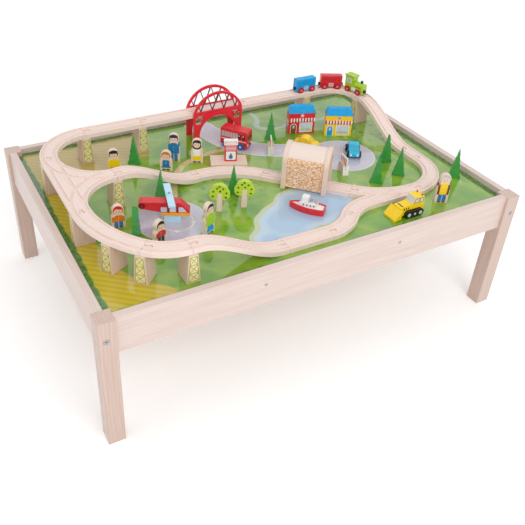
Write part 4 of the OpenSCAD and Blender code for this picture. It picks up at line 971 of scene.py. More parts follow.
@dataclass
class Board:
    """The play board: a thin panel with a printed landscape of its own design."""

    length: float = 983.0
    depth: float = 669.0
    thick: float = 6.0
    notch: float = 13.0
    cell: float = 4.0
    road_half: float = 31.0
    road_line: tuple = (
        (-18, 360), (-6, 292), (4, 242), (16, 190), (46, 138), (112, 92), (184, 66), (262, 14),
    )
    turning: tuple = (262.0, -2.0, 78.0)
    pond: tuple = ((46, -172, 76), (-34, -204, 60), (112, -178, 44), (-98, -248, 36))
    pad: tuple = (-258.0, -92.0, 76.0)
    pad_ring: tuple = (-250.0, -103.0, 36.0)
    pad_turn: float = 71.0
    path_line: tuple = ((20, 150), (-60, 152), (-150, 116), (-196, 40), (-222, -22))
    brook_line: tuple = (
        (150, 350), (172, 284), (126, 226), (186, 196), (258, 222), (334, 196), (392, 232), (500, 214),
    )

    @staticmethod
    def along(line: Sequence[Point], points: np.ndarray) -> tuple[np.ndarray, np.ndarray]:
        """Distance of each point from a line, and how far along it that is."""
        best = np.full(len(points), 1e9)
        run = np.zeros(len(points))
        done = 0.0
        for a, b in zip(line, line[1:]):
            a, b = np.array(a, float), np.array(b, float)
            size = np.linalg.norm(b - a)
            t = np.clip(((points - a) @ (b - a)) / size ** 2, 0, 1)
            gap = np.linalg.norm(points - a - t[:, None] * (b - a), axis=1)
            nearer = gap < best
            run = np.where(nearer, done + t * size, run)
            best = np.minimum(best, gap)
            done += size
        return best, run

    @staticmethod
    def melted(one: np.ndarray, two: np.ndarray, soft: float) -> np.ndarray:
        """The union of two areas, each a signed distance, with a soft inner corner."""
        h = np.clip(0.5 + 0.5 * (one - two) / soft, 0, 1)
        return one * (1 - h) + two * h - soft * h * (1 - h)

    @staticmethod
    def smooth_line(line: Sequence[Point], rounds: int = 3) -> list[Point]:
        """Cuts the corners of a line until it runs softly."""
        points = [np.array(p, float) for p in line]
        for _ in range(rounds):
            cut = [points[0]]
            for a, b in zip(points, points[1:]):
                cut += [a * 0.75 + b * 0.25, a * 0.25 + b * 0.75]
            points = cut + [points[-1]]
        return [tuple(p) for p in points]

    def layers(self, points: np.ndarray) -> dict[str, np.ndarray]:
        """Signed distance of each point from each printed area, negative inside."""
        x, y = points[:, 0], points[:, 1]

        def circle(cx: float, cy: float, radius: float) -> np.ndarray:
            return np.hypot(x - cx, y - cy) - radius

        rim = np.minimum(self.length / 2 - np.abs(x), self.depth / 2 - np.abs(y))
        scallop = np.abs(np.sin(x / 11.5)) * 5 + np.abs(np.sin(y / 12.5)) * 5 + 3 * np.sin(x / 57 + y / 41)
        made = {"hedge": rim - 9 - 0.7 * scallop}
        left = x + 422 - 12 * np.sin(y / 58)
        corner = 0.82 * (x + 418) + 0.57 * (y + 214) + 6 * np.sin((x - y) / 31)
        made["field"] = np.minimum(left, corner)
        made["stubble"] = np.maximum(184 + 12 * np.sin(x / 44) - y, x + 176 + 14 * np.sin(y / 26))
        made["furrow"] = y * 0.86 + x * 0.5 + 14 * np.sin(x / 70)
        gap, run = self.along(self.smooth_line(self.road_line), points)
        turning = circle(*self.turning)
        made["road"] = self.melted(turning, gap - self.road_half, 26)
        dash = np.abs(np.mod(run, 34) - 17) - 9
        made["dashes"] = np.maximum(np.maximum(gap - 1.6, dash), -turning - 8)
        water, *more = [circle(*pool) for pool in self.pond]
        for pool in more:
            water = self.melted(pool, water, 34)
        made["pond"] = water + 3 * np.sin(x / 13) * np.sin(y / 15)
        made["lilies"] = np.maximum(circle(-62, -222, 46), water + 12)
        made["pad"] = circle(*self.pad)
        cx, cy, r = self.pad_ring
        reach = np.hypot(x - cx, y - cy)
        ticks = np.abs(np.mod(np.degrees(np.arctan2(y - cy, x - cx)) + self.pad_turn, 90) - 45) - 3.5
        ring = np.abs(reach - r) - 1.8
        made["pad_ring"] = np.minimum(ring, np.maximum(np.abs(reach - r) - 6, ticks))
        made["path"] = self.along(self.smooth_line(self.path_line), points)[0] - 8
        made["brook"] = self.along(self.smooth_line(self.brook_line), points)[0] - 6 - 2 * np.sin(x / 17)
        made["grove"] = np.minimum(circle(-110, -10, 110), circle(400, 40, 120))
        return made

    def lines(self, half: float) -> np.ndarray:
        """Where the grid's lines lie across the board, the notches' edges among them."""
        even = np.linspace(-half, half, int(2 * half / self.cell))
        return np.unique(np.concatenate((even, [self.notch - half, half - self.notch])))

    def build(self) -> None:
        """Makes the board as a fine grid that carries its printed areas."""
        half_x, half_y = self.length / 2, self.depth / 2
        xs = self.lines(half_x)
        ys = self.lines(half_y)
        bm = bmesh.new()
        grid = [[bm.verts.new((px * MM, py * MM, BOARD_TOP * MM)) for px in xs] for py in ys]
        for j in range(len(ys) - 1):
            for i in range(len(xs) - 1):
                mid_x, mid_y = abs(xs[i] + xs[i + 1]) / 2, abs(ys[j] + ys[j + 1]) / 2
                if mid_x > half_x - self.notch and mid_y > half_y - self.notch:
                    continue
                bm.faces.new((grid[j][i], grid[j][i + 1], grid[j + 1][i + 1], grid[j + 1][i]))
        loose = [v for v in bm.verts if not v.link_faces]
        bmesh.ops.delete(bm, geom=loose, context="VERTS")
        rim = [e for e in bm.edges if len(e.link_faces) == 1]
        down = bmesh.ops.extrude_edge_only(bm, edges=rim)["geom"]
        moved = {v for v in down if isinstance(v, bmesh.types.BMVert)}
        for vert in moved:
            vert.co.z -= self.thick * MM
        edges = [e for e in down if isinstance(e, bmesh.types.BMEdge)]
        floor_edges = [e for e in edges if moved.issuperset(e.verts)]
        bmesh.ops.contextual_create(bm, geom=floor_edges)
        bmesh.ops.recalc_face_normals(bm, faces=bm.faces)
        for face in bm.faces:
            face.material_index = 0 if face.normal.z > 0.9 else 1
        mesh = bpy.data.meshes.new("play-board")
        bm.verts.index_update()
        bm.to_mesh(mesh)
        bm.free()
        flat = np.zeros(len(mesh.vertices) * 3)
        mesh.vertices.foreach_get("co", flat)
        points = flat.reshape(-1, 3) / MM
        for name, values in self.layers(points[:, :2]).items():
            mesh.attributes.new(name, "FLOAT", "POINT").data.foreach_set("value", values.astype(np.float32))
        grain = mesh.attributes.new("grain", "FLOAT_VECTOR", "POINT")
        grain.data.foreach_set("vector", points.astype(np.float32).ravel())
        for finish in (PRINT, RAW_BOARD):
            mesh.materials.append(finish.material())
        piece = stand("play-board", mesh)
        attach(piece, "table")
        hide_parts("board")
        LOG.info("play board: %d faces", len(mesh.polygons))


# Table


@dataclass
class Table:
    """Legs, rails and the fittings between them."""

    leg_ease: float = 2.4
    rail_ease: float = 1.4
    batten_ease: float = 1.0
    fitting_ease: float = 0.4

    def build(self) -> None:
        """Makes every piece of the frame."""
        for side in ("front_left", "front_right", "back_left", "back_right"):
            # The legs take the darker copy of the pine, which paints their shade.
            plain(f"leg_{side}", self.leg_ease, SHADED_LEG_PINE, "pine_wood", grain=Vector((0, 0, 1)))
        for side in ("front", "back"):
            plain(f"rail_{side}", self.rail_ease, PINE, "pine_wood", grain=Vector((1, 0, 0)))
        for side in ("left", "right"):
            plain(f"rail_{side}", self.rail_ease, PINE, "pine_wood", grain=Vector((0, 1, 0)))
        plain("battens", self.batten_ease, PINE, "pine_wood")
        plain("leg_bolts", self.fitting_ease, STEEL, "steel")
        plain("barrel_nuts", self.fitting_ease, STEEL, "steel")
        plain("rail_dowels", self.fitting_ease, PLY, "pine_wood")
        plain("batten_screws", self.fitting_ease, STEEL, "steel")


# Railway


@dataclass
class Railway:
    """Track pieces, supports, bridge and tunnel."""

    ease: float = 0.5
    support_height: float = 67.0
    foot: float = 30.0
    head: float = 20.0
    depth: float = 44.0
    panel_edge: float = 2.2
    bar_edge: float = 3.5
    supports: tuple = (
        (-343, 242, 0), (-199, 242, 0), (-453, 132, 90), (-453, -88, -90), (-343, 22, 0),
        (-425.4, -198.8, -62), (-383.9, -254.84, -45), (-306.1, -287.06, 0), (287, 242, 0),
        (420.79, 154, -90),
    )
    track_nodes: tuple = (
        "straights", "ramps", "corner_curves", "curves_short", "curves_long", "junction_left", "switch_right",
        "bridge_deck",
    )

    def build(self) -> None:
        """Makes every piece of the railway."""
        for node in self.track_nodes:
            plain(node, self.ease, BEECH, "track_wood", steps=2)
        self.build_supports()
        plain("bridge_sides", 0.4, BRIDGE_RED, "red_paint", steps=2)
        ends = carved("tunnel_ends", 1.0, always(PLY), name="tunnel end walls")
        ends.finish("table", ["tunnel_ends"], "track_wood")
        plain("tunnel_cover", 0.3, STONES, "track_wood", steps=2)

    def build_supports(self) -> None:
        """Makes the ten supports with a printed lattice on two faces of each."""
        # The supports take the darker copy of the pine, which paints their shade.
        shell = carved("supports", 1.2, always(SHADED_BLOCK_PINE), name="track supports")
        out, edge = self.depth / 2, self.panel_edge
        corners = ((-edge, 2.4), (edge, 2.4), (edge, 64.5), (-edge, 64.5))
        panel = [(self.side(z, inset), z) for inset, z in corners]
        bars = []
        for x, y, turn in self.supports:
            pose = Pose(x, y, turn)
            shell.at(pose)
            for face in (Face.FRONT, Face.BACK):
                shell.decal(panel, out, LATTICE_BASE, face, 0.2)
                bars += self.lattice(pose, face, out + 0.15)
        shell.repeat(Repeats("support lattice", Form.BAR, LATTICE_BAR, wobble=0.02, seed=5), bars)
        shell.finish("table", ["supports"], "support_wood")

    def side(self, z: float, inset: float) -> float:
        """Half width of a support at a height, less an inset, on the inset's side."""
        half = self.foot / 2 + (self.head - self.foot) / 2 * z / self.support_height
        return math.copysign(half - abs(inset), inset)

    def lattice(self, pose: Pose, face: Face, out: float) -> list:
        """The printed bars of one face: two posts, rungs and crosses."""
        def corner(z: float, inset: float) -> Point:
            return self.side(z, inset), z

        levels = (4.4, 24, 43, 62.5)
        foot, head = levels[0], levels[-1]
        edge = self.bar_edge
        thick, thin = 1.5, 1.2
        bars = []
        for inset in (-edge, edge):
            bars.append(stroke(pose, face, corner(foot, inset), corner(head, inset), thick, out))
            for low, high in zip(levels, levels[1:]):
                bars.append(stroke(pose, face, corner(low, inset), corner(high, -inset), thin, out))
        for z in levels:
            bars.append(stroke(pose, face, corner(z, -edge), corner(z, edge), thick, out))
        return bars


# Train


@dataclass
class WheelSet:
    """Two wheels on a pin, turned about their axle."""

    radius: float
    width: float
    face: float
    pin: float = 3.0
    tyre: Finish = RED_WHEEL
    hub: Finish = HUB

    def profile(self, side: int) -> list[Point]:
        """Radius and place of each step of one wheel, from its inner face."""
        r, w, a = self.radius, self.width, self.face
        steps = [
            (0, a), (r - 0.9, a), (r - 0.2, a + 0.4), (r, a + 1.0), (r, a + w - 1.0), (r - 0.3, a + w - 0.3),
            (r - 1.0, a + w), (r - 2.2, a + w), (r - 2.7, a + w - 0.7), (r * 0.42, a + w - 0.7),
            (r * 0.40, a + w - 0.6), (0, a + w - 0.6),
        ]
        return [(q, side * d) for q, d in steps]

    def pair(self, name: str, pose: Pose, offset: float, height: float, slot: str) -> None:
        """Makes the front and the rear wheels of a vehicle.

        Args:
            name: What the vehicle's CAD nodes are named after.
            pose: Where the vehicle stands.
            offset: How far each axle is from the vehicle's middle.
            height: Height of the axles in the vehicle.
            slot: The record's material slot.
        """
        for end, sign in (("front", 1), ("rear", -1)):
            self.build(f"{name}_axle_{end}", pose, sign * offset, height, slot)

    def build(self, node: str, pose: Pose, offset: float, height: float, slot: str) -> None:
        """Makes the wheels of one axle.

        Args:
            node: The CAD node they stand for, and the body that turns.
            pose: Where the vehicle stands.
            offset: Place of the axle along the vehicle.
            height: Height of the axle in the vehicle.
            slot: The record's material slot.
        """
        shell = Shell(node.replace("_", " "), pose)
        lying = Matrix.Rotation(math.radians(-90), 4, "X")
        place = pose.matrix() @ Matrix.Translation((offset, 0, height)) @ lying
        end = self.face + self.width
        wide, narrow = self.radius * 0.36, self.radius * 0.26
        cap = [(0, end - 0.8), (wide, end - 0.8), (wide, end + 0.3), (narrow, end + 0.8), (0, end + 0.8)]
        for side in (-1, 1):
            shell.lathe(self.profile(side), self.tyre, place)
            shell.lathe([(r, side * d) for r, d in cap], self.hub, place, 24)
        half = self.face + 0.5
        shell.lathe([(0, -half), (self.pin / 2, -half), (self.pin / 2, half), (0, half)], STEEL, place, 20)
        # Small studs on the wheel face show that it turns.
        marks = []
        for side in (-1, 1):
            for u, v in disc(0, 0, self.radius * 0.56, 5):
                spot = place @ Matrix.Translation((u, v, side * (end - 0.65)))
                marks.append((spot, (self.radius * 0.2, self.radius * 0.2, 0.7)))
        shell.repeat(Repeats("wheel marks", Form.DOT, self.tyre), marks)
        shell.finish(node, [node], slot)


@dataclass
class Train:
    """The engine, two wagons, their couplings and wheels."""

    width: float = 21.0
    length: float = 60.0
    axle: float = 18.0
    axle_height: float = 6.3
    engine: Pose = Pose(415.558, 176.178, -75, TRACK_TOP)
    red: Pose = Pose(369.003, 231.661, -25, TRACK_TOP)
    blue: Pose = Pose(287.989, 242, 0, TRACK_TOP)
    wheels: WheelSet = field(default_factory=lambda: WheelSet(9.0, 3.0, 11.5, hub=ROSY_HUB))

    def build(self) -> None:
        """Makes every piece of the train."""
        self.wagon("wagon_red_body", "table", self.red, RED, "red_paint")
        self.wagon("wagon_blue_body", "wagon_blue", self.blue, BLUE, "blue_paint")
        self.locomotive()
        for node, body in (("magnets", "table"), ("wagon_blue_magnets", "wagon_blue")):
            carved(node, 0.9, always(BLACK)).finish(body, [node], "black_plastic")
        for name, pose in (("engine", self.engine), ("wagon_red", self.red), ("wagon_blue", self.blue)):
            self.wheels.pair(name, pose, self.axle, self.axle_height, "red_wheels")

    def wagon(self, node: str, body: str, pose: Pose, paint: Paint, slot: str) -> None:
        """Makes a wagon with a row of windows and a plain label on each side."""
        shell = carved(node, 0.8, always(paint), pose)
        deep = Paint(paint.name + ", window print", paint.shade, "", 0.3, 0.4)
        prints = [(rounded(u - 3, 23, u + 3, 29, 1.6), deep, 0.12) for u in (-20, -10, 0, 10, 20)]
        prints.append((rounded(-6.5, 6, 6.5, 16, 1.2), GLASS, 0.2))
        prints += [(rounded(-4.4, v - 0.5, 4.4, v + 0.5), deep, 0.26) for v in (8.4, 11.0, 13.6)]
        for face in (Face.FRONT, Face.BACK):
            shell.decals(face, self.width / 2, prints)
        for face in (Face.LEFT, Face.RIGHT):
            shell.decal(rounded(-5.5, 21, 5.5, 31, 1.4), self.length / 2, deep, face, 0.12)
        shell.finish(body, [node], slot)

    def locomotive(self) -> None:
        """Makes the engine: cab windows, side plates, chimney and lamp."""
        def rule(middle: Vector, normal: Vector) -> Finish:
            spot = self.engine.local(middle)
            return BLACK if spot.x > 15 and spot.z > 32.5 and abs(spot.y) < 4.2 else LIME

        shell = carved("engine_body", 0.8, rule, self.engine)
        for face, ahead in SIDES:
            window, line = ahead * -16.2, ahead * 15
            shell.decals(face, self.width / 2, (
                (rounded(window - 8, 25, window + 8, 37, 2.5), WHITE, 0.2),
                (rounded(window - 6.6, 26.4, window + 6.6, 35.6, 1.6), SMOKE, 0.3),
                (rounded(-6.5, 6, 6.5, 15, 1.2), WHITE, 0.2),
                (rounded(line - 9, 18.4, line + 9, 19.8), INK, 0.12),
            ))
        end = self.length / 2
        shell.decal(disc(0, 20.8, 3.4), end, INK, Face.RIGHT, 0.2)
        shell.prism(disc(0, 20.8, 2.5), end - 0.2, end + 0.9, YELLOW, Face.RIGHT, 0.4)
        shell.decal(rounded(-7, 26, 7, 37, 2), end, SMOKE, Face.LEFT, 0.2)
        shell.finish("table", ["engine_body"], "lime_paint")


# Town


@dataclass
class Town:
    """Platform, pump, shops and trees."""

    pump: Pose = Pose(-23, 84, -22.6, BOARD_TOP + 8)
    red_shop: Pose = Pose(231, 161, -18)
    yellow_shop: Pose = Pose(316, 107, -27)
    wall: float = 59.0
    apple_trees: tuple = ((-147, -101, -28), (-89, -109, -28))
    crown: float = 47.0
    apples: tuple = ((-6, 13), (8, 12), (1, 6), (-14, 5), (-15, -7), (15, 2), (14, -9), (-1, 18))

    def build(self) -> None:
        """Makes the platform, the pump, the shops and the trees."""
        plain("platform", 0.9, PLY, "track_wood")
        self.build_pump()
        self.build_shop("shop_red", self.red_shop, RED, BROWN, "red_paint")
        self.build_shop("shop_yellow", self.yellow_shop, YELLOW, BLUE, "yellow_paint")
        plain("pines", 1.0, GREEN, "pine_green", grain=Vector((0, 0, 1)))
        self.build_apple_trees()

    def build_pump(self) -> None:
        """Makes the pump: white head, striped body and a drop on its panel."""
        pose = self.pump

        def rule(middle: Vector, normal: Vector) -> Finish:
            return WHITE if pose.local(middle).z > 43.9 else RED

        body, head = 8.0, 6.4
        shell = carved("pump", 0.8, rule, pose)
        turns = [math.radians(t) for t in range(140, 401, 20)]
        drop = [(5.2 * math.cos(a), 11.4 + 5.2 * math.sin(a)) for a in turns] + [(0, 24)]
        panel = [(rounded(-13, v, 13, v + 1.7), WHITE, 0.2) for v in (30.5, 34.5, 38.5)]
        panel += [(rounded(-12, 4, 12, 27, 2), WHITE, 0.2), (drop, TEAL, 0.3)]
        sign = (
            (rounded(-14, 46.2, 14, 52.6, 1.6), RED, 0.15),
            (rounded(-13, 47.1, 13, 51.7, 1.2), WHITE, 0.25),
        )
        for face in (Face.FRONT, Face.BACK):
            shell.decals(face, body, panel)
            shell.decals(face, head, sign)
        shell.finish("table", ["pump"], "red_paint")

    def build_shop(self, node: str, pose: Pose, walls: Finish, door: Finish, slot: str) -> None:
        """Makes a shop: hipped roof, striped awning, door, window and a sign.

        Args:
            node: Its CAD node.
            pose: Where it stands; its front looks along local -Y.
            walls: Finish of the walls.
            door: Finish of the door.
            slot: The record's material slot.
        """
        def rule(middle: Vector, normal: Vector) -> Finish:
            return BLUE if pose.local(middle).z > self.wall - 0.1 else walls

        shell = carved(node, 0.8, rule, pose)
        out, end = 13.0, 36.0
        shell.decals(Face.FRONT, out, (
            (arch(-31, 1, -13.5, 30), WHITE, 0.2),
            (arch(-29.6, 1, -14.9, 28.6), door, 0.3),
            (disc(-17.4, 13, 1.0, 12), INK, 0.45),
            (rounded(-24.8, 16, -19.6, 25, 2.5), GLASS, 0.4),
            (rounded(-6, 4, 30, 32, 1.4), WHITE, 0.2),
            (rounded(-4.4, 5.6, 28.4, 30.4, 0.8), GLASS, 0.3),
            (rounded(-4.4, 9.6, 28.4, 10.6), GREY, 0.36),
        ))
        for i, finish in enumerate((LEAF, AMBER, LEAF, PINK, LEAF)):
            shell.decal(disc(0.4 + i * 5.8, 13.2, 2.3, 16), out, finish, Face.FRONT, 0.4)
        stripes = {WHITE: [], RED: []}
        scallops = {WHITE: [], RED: []}
        for i in range(18):
            finish = (RED, WHITE)[i % 2]
            across = -34 + 4 * i
            stripes[finish].append((spot_on(pose, Face.FRONT, across, 41, out + 0.9), (4.0, 9.0, 2.2)))
            scallops[finish].append((spot_on(pose, Face.FRONT, across, 36.5, out + 0.9), (4.0, 4.0, 2.2)))
        for finish in (WHITE, RED):
            shell.repeat(Repeats("awning", Form.BAR, finish), stripes[finish])
            shell.repeat(Repeats("awning scallops", Form.DOT, finish), scallops[finish])
        shell.decals(Face.FRONT, out, (
            (disc(0, 52.6, 4.4), WHITE, 0.25),
            (disc(0, 52.6, 3.5), MAROON if walls is YELLOW else GREY, 0.35),
            (disc(0, 52.6, 1.5, 18), WHITE, 0.45),
        ))
        for face in (Face.LEFT, Face.RIGHT):
            shell.decals(face, end, (
                (rounded(-7, 20, 7, 38, 1.2), WHITE, 0.2),
                (rounded(-5.6, 21.4, 5.6, 36.6, 0.8), GLASS, 0.3),
            ))
        for u in (-20, 20):
            shell.decals(Face.BACK, out, (
                (rounded(u - 8, 24, u + 8, 42, 1.2), WHITE, 0.2),
                (rounded(u - 6.6, 25.4, u + 6.6, 40.6, 0.8), GLASS, 0.3),
            ))
        shell.finish("table", [node], slot)

    def build_apple_trees(self) -> None:
        """Makes the two round trees: leafy crown, bare trunk, printed dots."""
        poses = [Pose(*spot) for spot in self.apple_trees]

        def rule(middle: Vector, normal: Vector) -> Finish:
            spot = nearest(poses, middle)
            return PLY if abs(spot.x) < 7.2 and spot.z < 29 else LEAF

        shell = carved("apple_trees", 1.0, rule)
        apples = []
        for pose in poses:
            shell.at(pose)
            for face in (Face.FRONT, Face.BACK):
                shell.decal([(-6.5, 1), (6.5, 1), (5, 47), (-5, 47)], 6, PLY, face, 0.2)
                for u, v in self.apples:
                    apples.append((spot_on(pose, face, u, self.crown + v, 6.0), (5.0, 5.0, 0.6)))
        shell.repeat(Repeats("printed apples", Form.DOT, OLIVE, wobble=0.1, seed=8), apples)
        shell.finish("table", ["apple_trees"], "lime_paint")


class Dress(Enum):
    """What a figure wears below the waist."""

    TROUSERS = "trousers"
    SKIRT = "skirt"


class Hair(Enum):
    """How a figure's hair or hat is cut."""

    SHORT = "short"
    LONG = "long"
    CAP = "cap"


@dataclass(frozen=True)
class Figure:
    """One flat wooden figure with a painted front and back."""

    pose: Pose
    height: float
    top: Finish
    sleeves: Finish
    below: Finish
    hair: Finish
    dress: Dress = Dress.TROUSERS
    cut: Hair = Hair.SHORT
    half: float = 5.5

    def paint(self, shell: Shell) -> None:
        """Adds the printed clothes and a plain doll's face."""
        head, waist, neck = self.height - 12.5, self.height * 0.30, self.height - 24
        shell.at(self.pose)
        for face in (Face.FRONT, Face.BACK):
            shell.decals(face, self.half, self.clothes(head, waist, neck))
        shell.decals(Face.FRONT, self.half, self.features(head))
        for share in (0.62, 0.3):
            button = disc(0, waist + (neck - waist) * share, 0.8, 10)
            shell.decal(button, self.half, WHITE, Face.FRONT, 0.34)

    def clothes(self, head: float, waist: float, neck: float) -> Prints:
        """What the front and the back both show, from the heights of a few places."""
        if self.dress is Dress.TROUSERS:
            below = [rounded(-9.5, 5, -0.7, waist + 2, 1.5), rounded(0.7, 5, 9.5, waist + 2, 1.5)]
        else:
            below = [[(-12, 8), (12, 8), (8.5, waist + 3), (-8.5, waist + 3)]]
        prints = [(outline, self.below, 0.15) for outline in below]
        for s in (-1, 1):
            prints += [
                (rounded(s * 5.2 - 4.6, 1.2, s * 5.2 + 4.6, 5.4, 2), BROWN, 0.2),
                (rounded(s * 11 - 2.6, waist - 1, s * 11 + 2.6, neck - 3, 2.4), self.sleeves, 0.2),
                (disc(s * 11, waist - 2.4, 2.3, 14), SKIN, 0.25),
            ]
        prints.append((rounded(-8.6, waist, 8.6, neck, 4), self.top, 0.25))
        if self.cut is Hair.LONG:
            hair = rounded(-10.6, neck - 3, 10.6, self.height - 1.6, 9)
        else:
            hair = disc(0, head + 0.8, 10.6)
        return prints + [(hair, self.hair, 0.32)]

    def features(self, head: float) -> Prints:
        """The face, and the fringe or the cap over it."""
        prints = [(disc(0, head - 1.8, 8.6), SKIN, 0.42)]
        for s in (-1, 1):
            prints.append((disc(s * 3.1, head - 0.8, 0.95, 14), INK, 0.5))
            prints.append((disc(s * 5.0, head - 4.2, 1.3, 14), PINK, 0.46))
        prints.append((smile(0, head - 2.6, 3.4, 0.7), MAROON, 0.5))
        if self.cut is Hair.CAP:
            return prints + [
                (rounded(-10, head + 3.2, 10, head + 9.4, 3), self.hair, 0.55),
                (rounded(-8, head + 2.4, 8, head + 4.2, 0.8), INK, 0.65),
            ]
        low = [(-8.4, 1.6), (-3, 4.4), (1.5, 2.8), (8.4, 2.2)]
        high = [(7.6, 7.4), (0, 10.2), (-7.6, 7.4)]
        return prints + [([(u, head + v) for u, v in low + high], self.hair, 0.5)]


@dataclass
class Townsfolk:
    """The eight figures."""

    people: tuple = (
        Figure(Pose(-302, 150, -12), 66, YELLOW, YELLOW, ORANGE, INK, Dress.TROUSERS, Hair.CAP),
        Figure(Pose(-146, 151, -30), 75, TEAL, TEAL, TEAL, NAVY, Dress.TROUSERS, Hair.CAP),
        Figure(Pose(-182, 116, -30), 53, TEAL, SKIN, TEAL, GINGER, Dress.SKIRT),
        Figure(Pose(-98, 120, -28), 65, WHITE, SKIN, YELLOW, INK, Dress.SKIRT, Hair.LONG),
        Figure(Pose(-371, -69, -8), 57, ORANGE, ORANGE, DENIM, RED),
        Figure(Pose(-314, -157, 22), 56, RED, RED, NAVY, INK),
        Figure(Pose(-208, -170, 25), 77, LIME, LIME, BLUE, INK, Dress.SKIRT),
        Figure(Pose(338, -283, -28), 76, YELLOW, MAROON, DENIM, SILVER),
    )

    def build(self) -> None:
        """Makes the figures as one piece."""
        shell = carved("figures", 1.4, always(PLY))
        for person in self.people:
            person.paint(shell)
        shell.finish("table", ["figures"], "figure_paint", Vector((0, 0, 1)))


# Toys


@dataclass
class Toys:
    """Boat, helicopter, barriers, digger, bus and cars."""

    boat: Pose = Pose(33, -181, 132)
    helicopter: Pose = Pose(-260.6, -87.2, -26)
    barriers: tuple = (Pose(95.018, 87.981, -28), Pose(210.589, -71.718, -16))
    digger: Pose = Pose(235, -289, 180)
    bus: Pose = Pose(32.818, 159.281, -52)
    yellow_car: Pose = Pose(193.989, 72.982, -50)
    blue_car: Pose = Pose(287.989, -6.018, -121)
    boat_deck: float = 12.0
    funnel: float = 11.0
    road_axle: float = 9.3
    car_axle: float = 17.92
    tail: tuple = (-58.0, 41.0)
    rotor_height: float = 59.5
    bus_half: float = 37.5
    crawler_height: float = 18.0
    crawler_length: float = 50.0
    crawler_links: int = 30

    def build(self) -> None:
        """Makes every toy."""
        self.build_boat()
        self.build_helicopter()
        self.build_barriers()
        self.build_digger()
        self.build_bus()
        self.build_car("car_yellow", self.yellow_car, YELLOW, "yellow_paint")
        self.build_car("car_blue", self.blue_car, CYAN, "blue_paint")

    def build_boat(self) -> None:
        """Makes the boat: painted hull, white deck, white cabin, funnel."""
        pose = self.boat

        def hull_rule(middle: Vector, normal: Vector) -> Finish:
            return WHITE if normal.z > 0.9 and pose.local(middle).z < 12.6 else RED

        carved("boat_hull", 0.5, hull_rule).finish("table", ["boat_hull"], "red_paint")

        def cabin_rule(middle: Vector, normal: Vector) -> Finish:
            spot = pose.local(middle)
            on_funnel = math.hypot(spot.x + 14, spot.y) < 4.3 and self.above_cabin(spot)
            return GREY if on_funnel else WHITE

        shell = carved("boat_cabin", 0.6, cabin_rule)
        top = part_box("boat_cabin")[1][2] / MM - BOARD_TOP
        up = self.boat_deck + (top - self.boat_deck - self.funnel) / 2
        ports = []
        for face, ahead in SIDES:
            for u in (-18, -10, -2, 6):
                ports.append((spot_on(pose, face, ahead * u, up, 9.52), (3.6, 3.6, 0.5)))
        shell.repeat(Repeats("portholes", Form.DOT, NAVY), ports)
        shell.finish("table", ["boat_cabin"], "white_paint")

    def above_cabin(self, spot: Vector) -> bool:
        """Whether a point of the boat lies above the flat of its lower cabin."""
        low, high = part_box("boat_cabin")
        return spot.z > (high[2] - low[2]) / MM + self.boat_deck - self.funnel - 0.2

    def build_helicopter(self) -> None:
        """Makes the helicopter: three layers of colour, windows, tail ring and rotor."""
        pose = self.helicopter

        def rule(middle: Vector, normal: Vector) -> Finish:
            z = pose.local(middle).z
            return SKY if z < 17.9 else AMBER if z < 25.2 else RED if z < 49.3 else WHITE

        half = 12.0
        panes = [rounded(u, 26.6, u + 13, 38.5, 1.6) for u in (-18, 1)]
        panes.append([(20, 26.6), (38, 26.6), (28.5, 38.5), (20, 38.5)])
        posts = [rounded(u, 25.6, u + 2.6, 41.5, 0.6) for u in (-3.6, 16.2)]
        prints = [(pane, GLASS, 0.25) for pane in panes] + [(post, NAVY, 0.2) for post in posts]
        washer = [(4.2, -0.4), (6.6, -0.4), (6.6, 0.3), (4.2, 0.3), (4.2, -0.4)]
        shell = carved("helicopter_body", 0.7, rule, pose)
        for face, ahead in SIDES:
            shell.decals(face, half, prints, ahead)
            ring = spot_on(pose, face, ahead * self.tail[0], self.tail[1], half)
            shell.lathe(washer, INK, ring)
        shell.finish("table", ["helicopter_body"], "red_paint")
        top = Pose(pose.x, pose.y, pose.turn + 100, BOARD_TOP + self.rotor_height)
        shell = carved("helicopter_rotor", 0.9, always(SKY), top)
        shell.prism(disc(0, 0, 3.4, 6), 6.9, 8.6, STEEL, Face.TOP, 0.4)
        shell.decal(rounded(-2.4, -0.5, 2.4, 0.5), 8.6, INK, Face.TOP, 0.05)
        shell.finish("helicopter_rotor", ["helicopter_rotor"], "blue_paint")

    def build_barriers(self) -> None:
        """Makes the two road barriers: bare blocks and striped boards."""
        def rule(middle: Vector, normal: Vector) -> Finish:
            spot = nearest(self.barriers, middle)
            # Barrier blocks take the darker copy of the pine, which paints their shade.
            return WHITE if spot.z > 24.1 or (abs(spot.x) < 1.54 and spot.z > 15.9) else SHADED_BLOCK_PINE

        shell = carved("barriers", 0.4, rule, steps=2, name="road barriers")
        bars = []
        for pose in self.barriers:
            for face in (Face.LEFT, Face.RIGHT):
                for u in (-15, -5, 5, 15):
                    side = u if face is Face.RIGHT else -u
                    top = 45.2 - 6 * (u + 20) / 40 - 1.6
                    bars.append(stroke(pose, face, (side, 25), (side, top), 4.6, 1.45))
        shell.repeat(Repeats("barrier stripes", Form.BAR, RED), bars)
        shell.finish("table", ["barriers"], "track_wood")

    def build_digger(self) -> None:
        """Makes the digger: cab windows, slanting vents, beacons and crawlers."""
        pose = self.digger
        half = 12.0

        def rule(middle: Vector, normal: Vector) -> Finish:
            spot = pose.local(middle)
            on_screen = 32 < spot.z < 45.9 and pose.ahead(normal) > 0.9 and abs(spot.y) < half - 1
            return GLASS if on_screen else YELLOW

